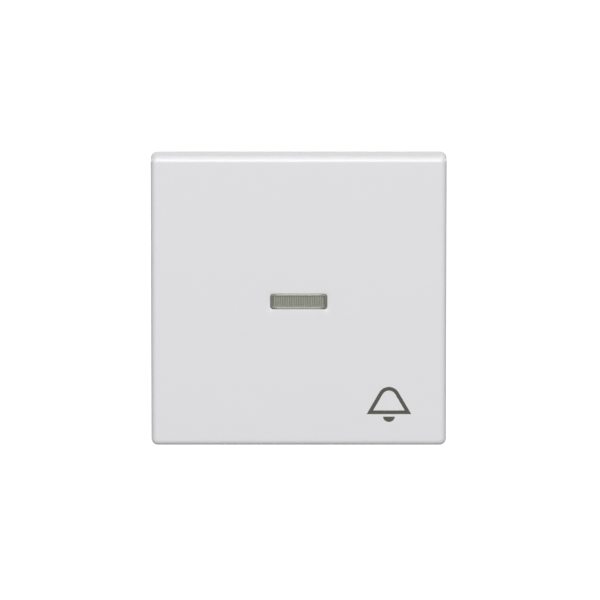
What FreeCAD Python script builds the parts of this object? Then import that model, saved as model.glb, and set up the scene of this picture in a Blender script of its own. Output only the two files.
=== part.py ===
import FreeCAD, Part
import math
import os

# Doorbell push button, flush mounted. Millimetres.
# +Z is up, the button faces -Y, and the origin is the middle of the support plate's
# wall side, so y = 0 is the wall. +X is to the right of someone who faces the button.

# Button plate
button_size = 55.0
button_corner_r = 1.2
front_reach = 11.5            # how far the face stands in front of the wall
face_thickness = 2.0
skirt_wall = 1.6
front_edge_r = 1.0
skirt_depth_ends = 5.5        # behind the face, along the top and bottom edges
skirt_depth_middle = 7.2      # behind the face, at the middle of each side
skirt_flat = 12.0             # straight stretch in the middle of each side skirt
rib_thickness = 1.0
rib_height = 2.0
upright_rib_x = 19.0
level_rib_z = 18.0

# Window and its lens
window_width = 10.6
window_height = 2.95
window_corner_r = 0.55
lens_border = 0.45
lens_recess = 0.35
flute_pitch = 0.42
flute_depth = 0.12
lens_flange = 1.0
lens_flange_thickness = 0.8
lens_rib = 1.0

# Rocker carrier behind the button
carrier_width = 28.4
carrier_height = 27.0
carrier_thickness = 1.8
carrier_gap = 0.1
carrier_rim = 1.2
carrier_rim_height = 1.0
carrier_corner_r = 1.5
cheek_thickness = 1.5
cheek_root = 4.3              # half height of a cheek where it leaves the carrier
trunnion_r = 1.5
trunnion_eye = 0.4            # material of the cheek round the trunnion's root
pivot_rise = 0.7              # trunnion axis in front of the cover
press_angle = 4.0
nose_z = -7.0
nose_width = 2.4
nose_r = 1.0

# Clip legs of the button
leg_inset_x = 2.9             # middle of a leg inside the carrier's side
leg_inset_z = 3.3             # middle of a leg inside the carrier's end
leg_width = 3.6
leg_thickness = 1.2
leg_hook = 0.6
leg_hook_height = 1.2

# Return spring
spring_inset = 3.5            # spring's middle inside the carrier's lower end
spring_mean_r = 1.7
spring_wire = 0.45
spring_turns = 3.5
spring_pocket_depth = 0.7

# Stops between carrier and cover
stop_inset_x = 6.6
stop_inset_z = 1.3
stop_width = 2.2

# Cover, housing and support plate
plate_thickness = 1.0
flange_thickness = 1.5
cover_thickness = 1.5
bearing_thickness = 2.4
bearing_half_height = 3.6
bearing_lip = 0.6
flange_lip_side = 2.0
flange_lip_end = 4.0
housing_height = 34.0
housing_wall = 1.5
housing_corner_r = 2.0
mechanism_depth = 8.3         # from the wall to the front of the housing's floor
floor_thickness = 1.5
terminal_depth = 5.7
divider = 1.4
light_window_width = 13.0
light_window_height = 7.0
corner_hole_r = 1.7
corner_hole_spacing = 43.0
plate_corner_r = 4.0
plate_edge = 3.1              # plate outside the axis of a claw screw

# Cover screws
cover_screw_inset = 5.5
cover_screw_r = 0.95
cover_screw_head_r = 1.9
cover_screw_head_height = 1.2

# Contact system
strip_thickness = 0.8
strip_width = 5.0
arm_width = 5.6
arm_neck_width = 3.4
arm_standoff = 4.7            # front of the arm in front of the housing's floor
arm_lower_z = -14.2
arm_upper_z = 9.4
arm_pivot_z = 7.4
arm_angle = 1.82              # the arm's swing when the button is pressed home
contact_z = -12.0
contact_head_r = 1.6
contact_head_height = 1.1
contact_shank_r = 0.8
contact_tail_r = 1.2
contact_tail_height = 0.3
contact_touch_gap = 0.03
post_width = 6.4
post_head = 1.4
contact_spring_z = -2.5
contact_spring_mean_r = 1.35
contact_spring_wire = 0.35
contact_spring_turns = 3.0
contact_spring_pip = 0.8

# Terminals
terminal_inset = 6.0          # terminals inside the housing's sides
terminal_z = 5.0
terminal_screw_r = 1.5
terminal_head_r = 2.75
terminal_head_height = 2.0
terminal_washer = 7.0
terminal_washer_thickness = 0.8
slot_near_z = 1.2
wire_notch_width = 4.0
wire_notch_depth = 3.0
screw_end_gap = 0.3

# Lamp
board_thickness = 1.0
board_inset = 1.3             # right edge of the board inside the housing's wall
board_to_arm = 1.6
board_height = 16.0
board_rear_y = 0.8
board_post = 2.6
board_pin_r = 0.6
board_pin_height = 0.3
led_r = 1.5
led_flange_r = 1.9
led_flange_thickness = 0.8
led_height = 5.3
lead = 0.5
lead_pitch = 2.54
lead_stub = 1.2
resistor_r = 0.9
resistor_length = 4.0
resistor_cap = 0.9
resistor_gap = 0.8            # the resistor's middle line outside the led's body
diode_r = 0.85
diode_length = 3.6
diode_gap = 2.4               # the diode's middle line beside the resistor's
axial_span = 6.6
axial_lift = 0.3
finger_offset = 3.2           # lamp strip's finger beyond its slot

# Claws
claw_slant = 15.0             # degrees between the claw screw and the wall's normal
claw_clearance = 7.4          # axis of the claw screw outside the housing, at the plate
claw_screw_r = 1.5
claw_head_r = 2.75
claw_head_height = 1.8
claw_width = 8.0
claw_sheet = 1.2
claw_foot_inner = 2.8
claw_foot_outer = 5.6
claw_blade_length = 5.5
claw_flare = 1.8
claw_foot_y = 15.0
claw_screw_end_y = 16.6
claw_tooth_count = 4
claw_tooth_depth = 0.9
guide_thickness = 1.2
seat_height = 9.0

# Flats that stand for the round of small screws, rivets, coils and their holes
round_sides = 16

# Clearances
fit_gap = 0.05
running_gap = 0.05
slot_gap = 0.15
side_gap = 0.4
assembly_gap = 0.2

# Planes and half sizes worked out from the sizes above
face_y = -front_reach
inside_y = face_y + face_thickness
flange_front_y = -(plate_thickness + flange_thickness)
cover_front_y = flange_front_y - cover_thickness
pivot_y = cover_front_y - pivot_rise
carrier_front_y = inside_y + carrier_gap
carrier_rear_y = carrier_front_y + carrier_thickness
rim_rear_y = carrier_rear_y + carrier_rim_height
floor_rear_y = mechanism_depth + floor_thickness
housing_rear_y = floor_rear_y + terminal_depth
carrier_half_width = carrier_width / 2
carrier_half_height = carrier_height / 2
bearing_inner_x = carrier_half_width + side_gap
cover_half_width = bearing_inner_x + bearing_thickness
housing_half_width = cover_half_width - flange_lip_side
housing_half_height = housing_height / 2
terminal_x = housing_half_width - terminal_inset
nose_x = -terminal_x
leg_x = carrier_half_width - leg_inset_x
leg_z = carrier_half_height - leg_inset_z
spring_z = spring_inset - carrier_half_height
stop_x = carrier_half_width - stop_inset_x
stop_z = carrier_half_height - stop_inset_z
cover_screw_x = cover_half_width - cover_screw_inset
board_left = board_to_arm + arm_width / 2 - terminal_x
board_right = housing_half_width - housing_wall - board_inset
cover_half_height = housing_half_height + flange_lip_end
cover_screw_z = housing_half_height + assembly_gap + (flange_lip_end - assembly_gap) / 2
slant = math.radians(claw_slant)
claw_x = housing_half_width + claw_clearance
plate_half = claw_x + plate_edge
arm_front_y = mechanism_depth - arm_standoff
arm_rear_y = arm_front_y + strip_thickness
nose_tip_y = arm_front_y - 2 * running_gap
contact_gap = (arm_pivot_z - contact_z) * math.tan(math.radians(arm_angle)) + contact_touch_gap


def vec(x, y, z):
    return FreeCAD.Vector(x, y, z)


def block(x0, x1, y0, y1, z0, z1):
    return Part.makeBox(x1 - x0, y1 - y0, z1 - z0, vec(x0, y0, z0))


def rod_y(x, z, y0, y1, r):
    return Part.makeCylinder(r, y1 - y0, vec(x, y0, z), vec(0, 1, 0))


def ring_y(x, y, z, r):
    """Corners of a regular polygon about an axis along Y, at the distance r from it."""
    corners = []
    for i in range(round_sides):
        turn = 2 * math.pi * (i + 0.5) / round_sides
        corners.append(vec(x + r * math.cos(turn), y, z + r * math.sin(turn)))
    return corners + corners[:1]


def bar_y(x, z, y0, y1, r):
    """A small bar along Y with flats."""
    return Part.Face(Part.makePolygon(ring_y(x, y0, z, r))).extrude(vec(0, y1 - y0, 0))


def cone_y(x, z, y0, r0, y1, r1):
    """A small tapered bar along Y with flats."""
    near = ring_y(x, y0, z, r0)
    far = ring_y(x, y1, z, r1)
    faces = [Part.Face(Part.makePolygon(near)), Part.Face(Part.makePolygon(far))]
    for i in range(round_sides):
        flat = [near[i], near[i + 1], far[i + 1], far[i], near[i]]
        faces.append(Part.Face(Part.makePolygon(flat)))
    return Part.makeSolid(Part.makeShell(faces))


def hole_y(x, z, y0, y1, r):
    """A small hole along Y whose flats touch the radius r."""
    return bar_y(x, z, y0, y1, r / math.cos(math.pi / round_sides))


def bar_z(x, y, z0, z1, r):
    """A small bar along Z with flats."""
    bar = bar_y(0, 0, z0, z1, r)
    bar.rotate(vec(0, 0, 0), vec(1, 0, 0), 90)
    bar.translate(vec(x, y, 0))
    return bar


def rod_x(x0, x1, y, z, r):
    return Part.makeCylinder(r, x1 - x0, vec(x0, y, z), vec(1, 0, 0))


def rounded_block(half_x, half_z, y0, y1, r):
    """A prism along Y whose outline is a rectangle with round corners."""
    solid = block(-half_x, half_x, y0, y1, -half_z, half_z)
    upright = [
        e for e in solid.Edges
        if abs(e.Vertexes[0].X - e.Vertexes[1].X) < 1e-6
        and abs(e.Vertexes[0].Z - e.Vertexes[1].Z) < 1e-6
    ]
    return solid.makeFillet(r, upright)


def side_profile(points, x0, x1):
    """A prism along X from corners given as (y, z)."""
    corners = [vec(x0, y, z) for y, z in points]
    face = Part.Face(Part.makePolygon(corners + corners[:1]))
    return face.extrude(vec(x1 - x0, 0, 0))


def top_profile(points, z0, z1):
    """A prism along Z from corners given as (x, y)."""
    corners = [vec(x, y, z0) for x, y in points]
    face = Part.Face(Part.makePolygon(corners + corners[:1]))
    return face.extrude(vec(0, 0, z1 - z0))


def mirrored_x(solid):
    return solid.mirror(vec(0, 0, 0), vec(1, 0, 0))


def joined(solids):
    """Fuses what touches and drops the seams between flush faces."""
    return solids[0].multiFuse(solids[1:]).removeSplitter()


def four(x, z):
    return [(sx * x, sz * z) for sx in (-1, 1) for sz in (-1, 1)]


def coil(x, z, y0, y1, mean_r, wire, turns):
    """An open coil along Y between the planes y0 and y1, in straight lengths of square wire."""
    steps = round(turns * round_sides)
    half = wire / 2
    sections = []
    for i in range(steps + 1):
        turn = 2 * math.pi * turns * i / steps
        y = y0 + half + (y1 - y0 - wire) * i / steps
        corners = []
        for out, along in ((-half, -half), (half, -half), (half, half), (-half, half)):
            r = mean_r + out
            corners.append(vec(x + r * math.cos(turn), y + along, z + r * math.sin(turn)))
        sections.append(Part.makePolygon(corners + corners[:1]))
    return Part.makeLoft(sections, True, True)


def clip_leg(x, z):
    """One leg with a hook that snaps behind the carrier."""
    out = math.copysign(1, z)
    back = carrier_rear_y + slot_gap
    tip = back + leg_hook_height
    near = abs(z) - leg_thickness / 2
    far = abs(z) + leg_thickness / 2
    points = [
        (inside_y, near), (tip, near), (tip, far), (back + 0.3, far + leg_hook),
        (back, far + leg_hook), (back, far), (inside_y, far),
    ]
    return side_profile([(y, out * h) for y, h in points], x - leg_width / 2, x + leg_width / 2)


def button_plate():
    half = button_size / 2
    rear = face_y + skirt_depth_middle
    shell = rounded_block(half, half, face_y, rear, button_corner_r)
    front = [e for e in shell.Edges if all(abs(v.Y - face_y) < 1e-6 for v in e.Vertexes)]
    shell = shell.makeFillet(front_edge_r, front)
    inner = half - skirt_wall
    shell = shell.cut(rounded_block(inner, inner, inside_y, rear + 1, button_corner_r / 2))
    wedge = [
        (face_y + skirt_depth_ends, half), (rear, skirt_flat / 2), (rear + 1, skirt_flat / 2),
        (rear + 1, half + 1), (face_y + skirt_depth_ends, half + 1),
    ]
    for side in (-1, 1):
        shell = shell.cut(side_profile([(y, side * z) for y, z in wedge], -half - 1, half + 1))
    pieces = [shell]
    t = rib_thickness / 2
    for side in (-1, 1):
        x = side * upright_rib_x
        z = side * level_rib_z
        pieces.append(block(x - t, x + t, inside_y, inside_y + rib_height, -inner, inner))
        pieces.append(block(-inner, inner, inside_y, inside_y + rib_height, z - t, z + t))
    pieces.append(lens_frame())
    for x, z in four(leg_x, leg_z):
        pieces.append(clip_leg(x, z))
    body = joined(pieces)
    window = rounded_block(window_width / 2, window_height / 2, face_y - 1, inside_y + 1, window_corner_r)
    return body.cut(window)


def lens_frame():
    """The low wall on the back of the face that the lens's flange drops into."""
    x = window_width / 2 + lens_flange + slot_gap
    z = window_height / 2 + lens_flange + slot_gap
    rear = inside_y + lens_flange_thickness
    outer = block(-x - lens_rib, x + lens_rib, inside_y, rear, -z - lens_rib, z + lens_rib)
    return outer.cut(block(-x, x, inside_y, rear, -z, z))


def lens():
    half_x = window_width / 2 - fit_gap
    half_z = window_height / 2 - fit_gap
    body = rounded_block(half_x, half_z, face_y, inside_y, window_corner_r - fit_gap)
    flange_x = window_width / 2 + lens_flange
    flange_z = window_height / 2 + lens_flange
    flange = block(-flange_x, flange_x, inside_y, inside_y + lens_flange_thickness, -flange_z, flange_z)
    field = half_x - lens_border
    count = round(2 * field / flute_pitch)
    pitch = 2 * field / count
    bottom = face_y + lens_recess
    points = [(-field, face_y - 1), (-field, bottom)]
    for i in range(count):
        points.append((-field + (i + 0.5) * pitch, bottom + flute_depth))
        points.append((-field + (i + 1) * pitch, bottom))
    points.append((field, face_y - 1))
    flutes = top_profile(points, lens_border - half_z, half_z - lens_border)
    return joined([body, flange]).cut(flutes)


def rocker_carrier():
    half_x = carrier_half_width
    half_z = carrier_half_height
    plate = rounded_block(half_x, half_z, carrier_front_y, carrier_rear_y, carrier_corner_r)
    pieces = [plate]
    for side in (-1, 1):
        edges = sorted((side * (half_z - carrier_rim), side * half_z))
        x = half_x - carrier_corner_r
        pieces.append(block(-x, x, carrier_rear_y, rim_rear_y, edges[0], edges[1]))
        pieces.append(carrier_cheek(side))
    pieces.append(bar_y(0, spring_z, carrier_rear_y, carrier_rear_y + 2 * spring_wire,
                        spring_mean_r - spring_wire / 2 - slot_gap))
    pieces.append(carrier_nose())
    body = joined(pieces)
    window_x = window_width / 2 + lens_flange + lens_rib + 2 * slot_gap
    window_z = window_height / 2 + lens_flange + lens_rib + 2 * slot_gap
    body = body.cut(block(-window_x, window_x, carrier_front_y - 1, carrier_rear_y + 1, -window_z, window_z))
    half_leg = leg_width / 2 + slot_gap
    near = leg_z - leg_thickness / 2 - slot_gap
    far = leg_z + leg_thickness / 2 + slot_gap
    for x, z in four(leg_x, 1):
        z0, z1 = sorted((z * near, z * far))
        body = body.cut(block(x - half_leg, x + half_leg, carrier_front_y - 1, carrier_rear_y + 1, z0, z1))
    return body


def carrier_cheek(side):
    """A cheek that narrows to a round eye, with the trunnion standing out of it."""
    inner_x = carrier_half_width - cheek_thickness
    eye_r = trunnion_r + trunnion_eye
    taper = [
        (carrier_rear_y, -cheek_root), (pivot_y, -eye_r), (pivot_y, eye_r), (carrier_rear_y, cheek_root),
    ]
    cheek = side_profile(taper, inner_x, carrier_half_width)
    eye = rod_x(inner_x, carrier_half_width, pivot_y, 0, eye_r)
    trunnion = rod_x(inner_x, cover_half_width - 2 * running_gap, pivot_y, 0, trunnion_r)
    solid = joined([cheek, eye, trunnion])
    return solid if side > 0 else mirrored_x(solid)


def carrier_nose():
    """The blade that reaches through the cover and presses the contact arm."""
    x0 = nose_x - nose_width / 2
    x1 = nose_x + nose_width / 2
    tip = nose_tip_y - nose_r
    gusset = 2 * nose_r
    blade = [
        (carrier_rear_y, nose_z - nose_r - gusset / 2), (carrier_rear_y + gusset, nose_z - nose_r),
        (tip, nose_z - nose_r), (tip, nose_z + nose_r),
        (carrier_rear_y + gusset, nose_z + nose_r), (carrier_rear_y, nose_z + nose_r + gusset / 2),
    ]
    return joined([side_profile(blade, x0, x1), rod_x(x0, x1, tip, nose_z, nose_r)])


def return_spring():
    rear = cover_front_y + spring_pocket_depth
    return coil(0, spring_z, carrier_rear_y + fit_gap, rear - fit_gap, spring_mean_r, spring_wire,
                spring_turns)


def cover_bearing():
    """A cheek with a slot that the trunnion snaps into from the front."""
    front = pivot_y - trunnion_r - bearing_lip
    cheek = block(bearing_inner_x, cover_half_width, front, cover_front_y,
                  -bearing_half_height, bearing_half_height)
    return cheek


def bearing_cut():
    bore = trunnion_r + running_gap
    front = pivot_y - trunnion_r - bearing_lip
    mouth = 0.88 * bore
    lead = bearing_lip
    x0 = bearing_inner_x - fit_gap
    x1 = cover_half_width + 1
    throat = [(pivot_y, -mouth), (front - 1, -mouth), (front - 1, mouth), (pivot_y, mouth)]
    chamfer = [(front + lead, -mouth), (front, -mouth - lead), (front, mouth + lead), (front + lead, mouth)]
    return joined([
        rod_x(x0, x1, pivot_y, 0, bore), side_profile(throat, x0, x1), side_profile(chamfer, x0, x1),
    ])


def mechanism_cover():
    plate = rounded_block(cover_half_width, cover_half_height, cover_front_y, flange_front_y,
                          housing_corner_r)
    pieces = [plate, cover_bearing(), mirrored_x(cover_bearing())]
    half = stop_width / 2
    pressed = (stop_z + half) * math.sin(math.radians(press_angle))
    for x, z in four(stop_x, stop_z):
        top = rim_rear_y + fit_gap + (pressed if z < 0 else 0)
        pieces.append(block(x - half, x + half, top, cover_front_y, z - half, z + half))
    body = joined(pieces)
    y0 = cover_front_y - 1
    y1 = flange_front_y + 1
    cuts = [bearing_cut(), mirrored_x(bearing_cut())]
    cuts.append(block(-light_window_width / 2, light_window_width / 2, y0, y1,
                      -light_window_height / 2, light_window_height / 2))
    reach = nose_r + 4 * slot_gap
    cuts.append(block(nose_x - nose_width / 2 - side_gap, nose_x + nose_width / 2 + side_gap, y0, y1,
                      nose_z - reach, nose_z + reach))
    cheek = block(carrier_half_width - cheek_thickness - side_gap, bearing_inner_x, y0, y1,
                  -cheek_root, cheek_root)
    cuts += [cheek, mirrored_x(cheek)]
    cuts.append(hole_y(0, spring_z, y0, cover_front_y + spring_pocket_depth,
                       spring_mean_r + spring_wire / 2 + slot_gap))
    for x, z in four(cover_screw_x, cover_screw_z):
        cuts.append(hole_y(x, z, y0, y1, cover_screw_r + slot_gap))
    for cut in cuts:
        body = body.cut(cut)
    return body


def slotted_screw(x, z, y_seat, y_end, r, head_r, head_height, toward):
    """A cheese head screw along Y; toward is -1 for a head at the front, 1 for one at the back."""
    top = y_seat + toward * head_height
    screw = joined([bar_y(x, z, y_end, y_seat, r), bar_y(x, z, y_seat, top, head_r)])
    slot = head_r / 4
    depth = head_height / 2
    y0, y1 = sorted((top - toward * depth, top + toward))
    return screw.cut(block(x - head_r - 1, x + head_r + 1, y0, y1, z - slot / 2, z + slot / 2))


def cover_screws():
    screws = [
        slotted_screw(x, z, cover_front_y, 0, cover_screw_r, cover_screw_head_r,
                      cover_screw_head_height, -1)
        for x, z in four(cover_screw_x, cover_screw_z)
    ]
    return Part.makeCompound(screws)


def claw_point(across, forward):
    """A point in the right-hand claw's own directions, away from its place on the screw."""
    x = across * math.cos(slant) + forward * math.sin(slant)
    y = across * math.sin(slant) - forward * math.cos(slant)
    return x, y


def claw_axis_x(y):
    return claw_x - (y + plate_thickness / 2) * math.tan(slant)


def claw_rod(y0, y1, r):
    """A round bar on the right-hand claw screw's axis between two depths."""
    start = vec(claw_axis_x(y0), y0, 0)
    end = vec(claw_axis_x(y1), y1, 0)
    return Part.makeCylinder(r, start.distanceToPoint(end), start, end.sub(start))


def seat_y(x):
    """The slanted front of the pressed seat under a claw screw's head."""
    return -plate_thickness - (plate_half - x) * math.tan(slant)


def claw_seat():
    """The seat pressed out of the plate, and the hollow behind it."""
    inner_x = cover_half_width + 4 * side_gap
    wall = plate_thickness
    raised = top_profile(
        [(inner_x, -wall / 2), (inner_x, seat_y(inner_x)), (plate_half, -wall), (plate_half, -wall / 2)],
        -seat_height / 2, seat_height / 2)
    hollow_x = inner_x + wall
    outer_x = plate_half - wall
    hollow = top_profile(
        [(hollow_x, 0), (hollow_x, seat_y(hollow_x) + wall), (outer_x, seat_y(outer_x) + wall), (outer_x, 0)],
        wall - seat_height / 2, seat_height / 2 - wall)
    return raised, hollow


def support_plate():
    plate = rounded_block(plate_half, plate_half, -plate_thickness, 0, plate_corner_r)
    raised, hollow = claw_seat()
    body = joined([plate, raised, mirrored_x(raised)])
    hole = claw_rod(seat_y(claw_x) - 1, 1, claw_screw_r + assembly_gap)
    opening = rounded_block(housing_half_width + assembly_gap, housing_half_height + assembly_gap,
                            -plate_thickness - 1, 1, housing_corner_r + assembly_gap)
    cuts = [hollow, mirrored_x(hollow), hole, mirrored_x(hole), opening]
    half = corner_hole_spacing / 2
    for x, z in four(half, half):
        cuts.append(rod_y(x, z, -plate_thickness - 1, 1, corner_hole_r))
    for x, z in four(cover_screw_x, cover_screw_z):
        cuts.append(hole_y(x, z, -plate_thickness - 1, 1, cover_screw_r + fit_gap))
    for cut in cuts:
        body = body.cut(cut)
    return body


def claw_guide(side_z):
    """A fin on the housing's side that keeps the claw from turning with its screw."""
    start_y = 2.2
    lead = 2.0
    points = [
        (housing_half_width - fit_gap, start_y), (claw_axis_x(start_y) - lead, start_y),
        (claw_axis_x(housing_rear_y) - lead / 2, housing_rear_y),
        (housing_half_width - fit_gap, housing_rear_y),
    ]
    near = claw_width / 2 + assembly_gap
    z0, z1 = sorted((side_z * near, side_z * (near + guide_thickness)))
    return top_profile(points, z0, z1)


def strip_slots():
    """The slots in the housing's floor that the strips pass through, as (x, z)."""
    near = slot_near_z + strip_thickness / 2
    far = fixed_strip_turn() + strip_thickness / 2
    return [(-terminal_x, near), (-terminal_x, far), (terminal_x, near), (terminal_x, -near)]


def base_housing():
    outer = rounded_block(housing_half_width, housing_half_height, flange_front_y, housing_rear_y,
                          housing_corner_r)
    flange = rounded_block(cover_half_width, cover_half_height, flange_front_y, -plate_thickness,
                           housing_corner_r)
    body = joined([outer, flange])
    inner_x = housing_half_width - housing_wall
    inner_z = housing_half_height - housing_wall
    body = body.cut(rounded_block(inner_x, inner_z, flange_front_y - 1, mechanism_depth, 1.0))
    body = body.cut(block(-inner_x, inner_x, floor_rear_y, housing_rear_y + 1, -inner_z, inner_z))
    pieces = [body]
    d = divider / 2
    pieces.append(block(-d, d, floor_rear_y, housing_rear_y, -inner_z, inner_z))
    pieces.append(block(-inner_x, inner_x, floor_rear_y, housing_rear_y, -d, d))
    for side_z in (-1, 1):
        fin = claw_guide(side_z)
        pieces += [fin, mirrored_x(fin)]
    half = board_post / 2
    for x, z in board_posts():
        pieces.append(block(x - half, x + half, board_rear_y, mechanism_depth, z - half, z + half))
    for x, z in board_pins():
        pieces.append(bar_y(x, z, board_rear_y - board_thickness - board_pin_height, board_rear_y,
                            board_pin_r))
    pip = contact_spring_mean_r - contact_spring_wire / 2 - slot_gap
    pieces.append(bar_y(-terminal_x, contact_spring_z, mechanism_depth - contact_spring_pip,
                        mechanism_depth, pip))
    body = joined(pieces)
    half_slot = strip_width / 2 + slot_gap
    t = strip_thickness / 2 + slot_gap
    cuts = []
    for x, z in strip_slots():
        cuts.append(block(x - half_slot, x + half_slot, mechanism_depth - 1, floor_rear_y + 1, z - t, z + t))
    for x, z in four(terminal_x, terminal_z):
        cuts.append(hole_y(x, z, mechanism_depth - 1, floor_rear_y + 1, terminal_screw_r + assembly_gap))
    for x, z in four(terminal_x, housing_half_height):
        z0, z1 = sorted((z - math.copysign(housing_wall + 0.5, z), z + math.copysign(1, z)))
        cuts.append(block(x - wire_notch_width / 2, x + wire_notch_width / 2,
                          housing_rear_y - wire_notch_depth, housing_rear_y + 1, z0, z1))
    for x, z in four(cover_screw_x, cover_screw_z):
        cuts.append(hole_y(x, z, flange_front_y - 1, 0, cover_screw_r + slot_gap))
    cuts.append(hole_y(-terminal_x, contact_z, mechanism_depth - 1,
                       mechanism_depth + contact_tail_height + assembly_gap, contact_tail_r + slot_gap))
    for cut in cuts:
        body = body.cut(cut)
    return body


def drilled(strip, x, z, r):
    """Drills every layer of a strip along Y at one place."""
    return strip.cut(hole_y(x, z, -front_reach, housing_rear_y, r))


def common_strip():
    """Post that the arm rocks in, foot on the floor, and tail under the terminal screw."""
    t = strip_thickness
    foot = mechanism_depth - t
    tail = floor_rear_y + t
    post_z = arm_pivot_z - t / 2
    end_z = terminal_z + terminal_washer / 2 - slot_gap
    profile = [
        (foot, slot_near_z), (tail, slot_near_z), (tail, end_z), (floor_rear_y, end_z),
        (floor_rear_y, slot_near_z + t), (mechanism_depth, slot_near_z + t),
        (mechanism_depth, post_z + t), (foot - t, post_z + t), (foot - t, post_z), (foot, post_z),
    ]
    x = -terminal_x
    strip = side_profile(profile, x - strip_width / 2, x + strip_width / 2)
    front = arm_front_y - post_head
    post = block(x - post_width / 2, x + post_width / 2, front, foot, post_z, post_z + t)
    strip = joined([strip, post])
    slot_x = arm_neck_width / 2 + assembly_gap
    strip = strip.cut(block(x - slot_x, x + slot_x, arm_front_y - side_gap, arm_rear_y + side_gap,
                            post_z - 1, post_z + t + 1))
    return drilled(strip, x, terminal_z, terminal_screw_r + fit_gap)


def fixed_strip_turn():
    return contact_z - contact_head_r - 1.0


def fixed_strip():
    """Foot that carries the fixed contact, and a long tail to the terminal screw."""
    t = strip_thickness
    foot = mechanism_depth - t
    tail = floor_rear_y + t
    z0 = fixed_strip_turn()
    z1 = contact_z + contact_head_r + 0.8
    end_z = slot_gap - (terminal_z - terminal_washer / 2)
    profile = [
        (foot, z0), (tail, z0), (tail, end_z), (floor_rear_y, end_z), (floor_rear_y, z0 + t),
        (mechanism_depth, z0 + t), (mechanism_depth, z1), (foot, z1),
    ]
    x = -terminal_x
    strip = side_profile(profile, x - strip_width / 2, x + strip_width / 2)
    hole = hole_y(x, contact_z, foot - 1, mechanism_depth + fit_gap, contact_shank_r + fit_gap)
    screw_hole = hole_y(x, -terminal_z, floor_rear_y - fit_gap, tail + 1, terminal_screw_r + fit_gap)
    return strip.cut(hole).cut(screw_hole)


def rivet(y_seat, y_top):
    """A contact rivet: head from its seat to y_top, shank through the strip, upset tail."""
    toward = math.copysign(1, y_top - y_seat)
    sheet = y_seat - toward * strip_thickness
    end = sheet - toward * contact_tail_height
    shoulder = y_top - toward * contact_head_height / 3
    x = -terminal_x
    return joined([
        bar_y(x, contact_z, end, sheet, contact_tail_r),
        bar_y(x, contact_z, sheet, y_seat, contact_shank_r),
        bar_y(x, contact_z, y_seat, shoulder, contact_head_r),
        cone_y(x, contact_z, shoulder, contact_head_r, y_top, contact_head_r / 2),
    ])


def moving_contact():
    return rivet(arm_rear_y, arm_rear_y + contact_head_height)


def fixed_contact():
    """Its head ends one contact gap behind the head of the moving contact."""
    return rivet(mechanism_depth - strip_thickness, arm_rear_y + contact_head_height + contact_gap)


def contact_arm():
    """A stamped lever: shoulders against the post, neck through it, and a pad for the rivet."""
    x = -terminal_x
    shoulder = arm_pivot_z - strip_thickness / 2 - assembly_gap
    blade = block(x - arm_width / 2, x + arm_width / 2, arm_front_y, arm_rear_y, arm_lower_z, shoulder)
    corners = [
        e for e in blade.Edges
        if abs(e.Vertexes[0].X - e.Vertexes[1].X) < 1e-6
        and abs(e.Vertexes[0].Z - e.Vertexes[1].Z) < 1e-6
    ]
    blade = blade.makeFillet(1.0, corners)
    neck = block(x - arm_neck_width / 2, x + arm_neck_width / 2, arm_front_y, arm_rear_y,
                 shoulder - 1, arm_upper_z)
    arm = joined([blade, neck])
    for side in (-1, 1):
        waist = rod_y(x + side * (arm_width / 2 + 0.6), contact_spring_z, arm_front_y - 1, arm_rear_y + 1, 1.4)
        arm = arm.cut(waist)
    return drilled(arm, x, contact_z, contact_shank_r + fit_gap)


def contact_spring():
    return coil(-terminal_x, contact_spring_z, arm_rear_y + fit_gap, mechanism_depth - fit_gap,
                contact_spring_mean_r, contact_spring_wire, contact_spring_turns)


def board_posts():
    inset = board_post / 2 + slot_gap
    half = board_height / 2 - inset
    return [(x, z) for x in (board_left + inset, board_right - inset) for z in (-half, half)]


def board_pins():
    """The two posts, corner to corner, whose pins hold the lamp board."""
    posts = board_posts()
    return [posts[0], posts[3]]


def lamp_board():
    front = board_rear_y - board_thickness
    board = block(board_left, board_right, front, board_rear_y, -board_height / 2, board_height / 2)
    for x, z in board_pins():
        board = board.cut(hole_y(x, z, front - 1, board_rear_y + 1, board_pin_r + slot_gap))
    hole = lead / 2 + slot_gap
    for side in (-1, 1):
        z = side * lead_pitch / 2
        board = board.cut(block(-hole, hole, front - 1, board_rear_y + 1, z - hole, z + hole))
    return board


def led():
    seat = board_rear_y - board_thickness
    top = seat - led_height
    flange_front = seat - led_flange_thickness
    flange = bar_y(0, 0, flange_front, seat, led_flange_r)
    flat = block(-led_flange_r - 1, -led_r, flange_front - 1, seat + 1, -led_flange_r, led_flange_r)
    pieces = [bar_y(0, 0, top + led_r, seat, led_r), flange.cut(flat)]
    for low, high in ((0, 30), (30, 60), (60, 80)):
        near = math.radians(low)
        far = math.radians(high)
        pieces.append(cone_y(0, 0, top + led_r * (1 - math.sin(near)), led_r * math.cos(near),
                             top + led_r * (1 - math.sin(far)), led_r * math.cos(far)))
    for side in (-1, 1):
        z = side * lead_pitch / 2
        pieces.append(block(-lead / 2, lead / 2, flange_front, board_rear_y + lead_stub,
                            z - lead / 2, z + lead / 2))
    return joined(pieces)


def axial_part(x, r, length, cap):
    """A resistor or diode lying behind the board on bent leads; cap is the length of its end collars."""
    y = board_rear_y + r + axial_lift
    half = axial_span / 2
    pieces = [bar_z(x, y, -length / 2, length / 2, r)]
    pieces.append(block(x - lead / 2, x + lead / 2, y - lead / 2, y + lead / 2, -half, half))
    for side in (-1, 1):
        z0, z1 = sorted((side * half, side * (half - lead)))
        pieces.append(block(x - lead / 2, x + lead / 2, board_rear_y, y + lead / 2, z0, z1))
        if cap:
            z0 = min(side * length / 2, side * (length / 2 - cap))
            pieces.append(bar_z(x, y, z0, z0 + cap, r + fit_gap))
    return joined(pieces)


def resistor():
    return axial_part(led_r + resistor_gap, resistor_r, resistor_length, resistor_cap)


def diode():
    return axial_part(led_r + resistor_gap + diode_gap, diode_r, diode_length, 0)


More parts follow.
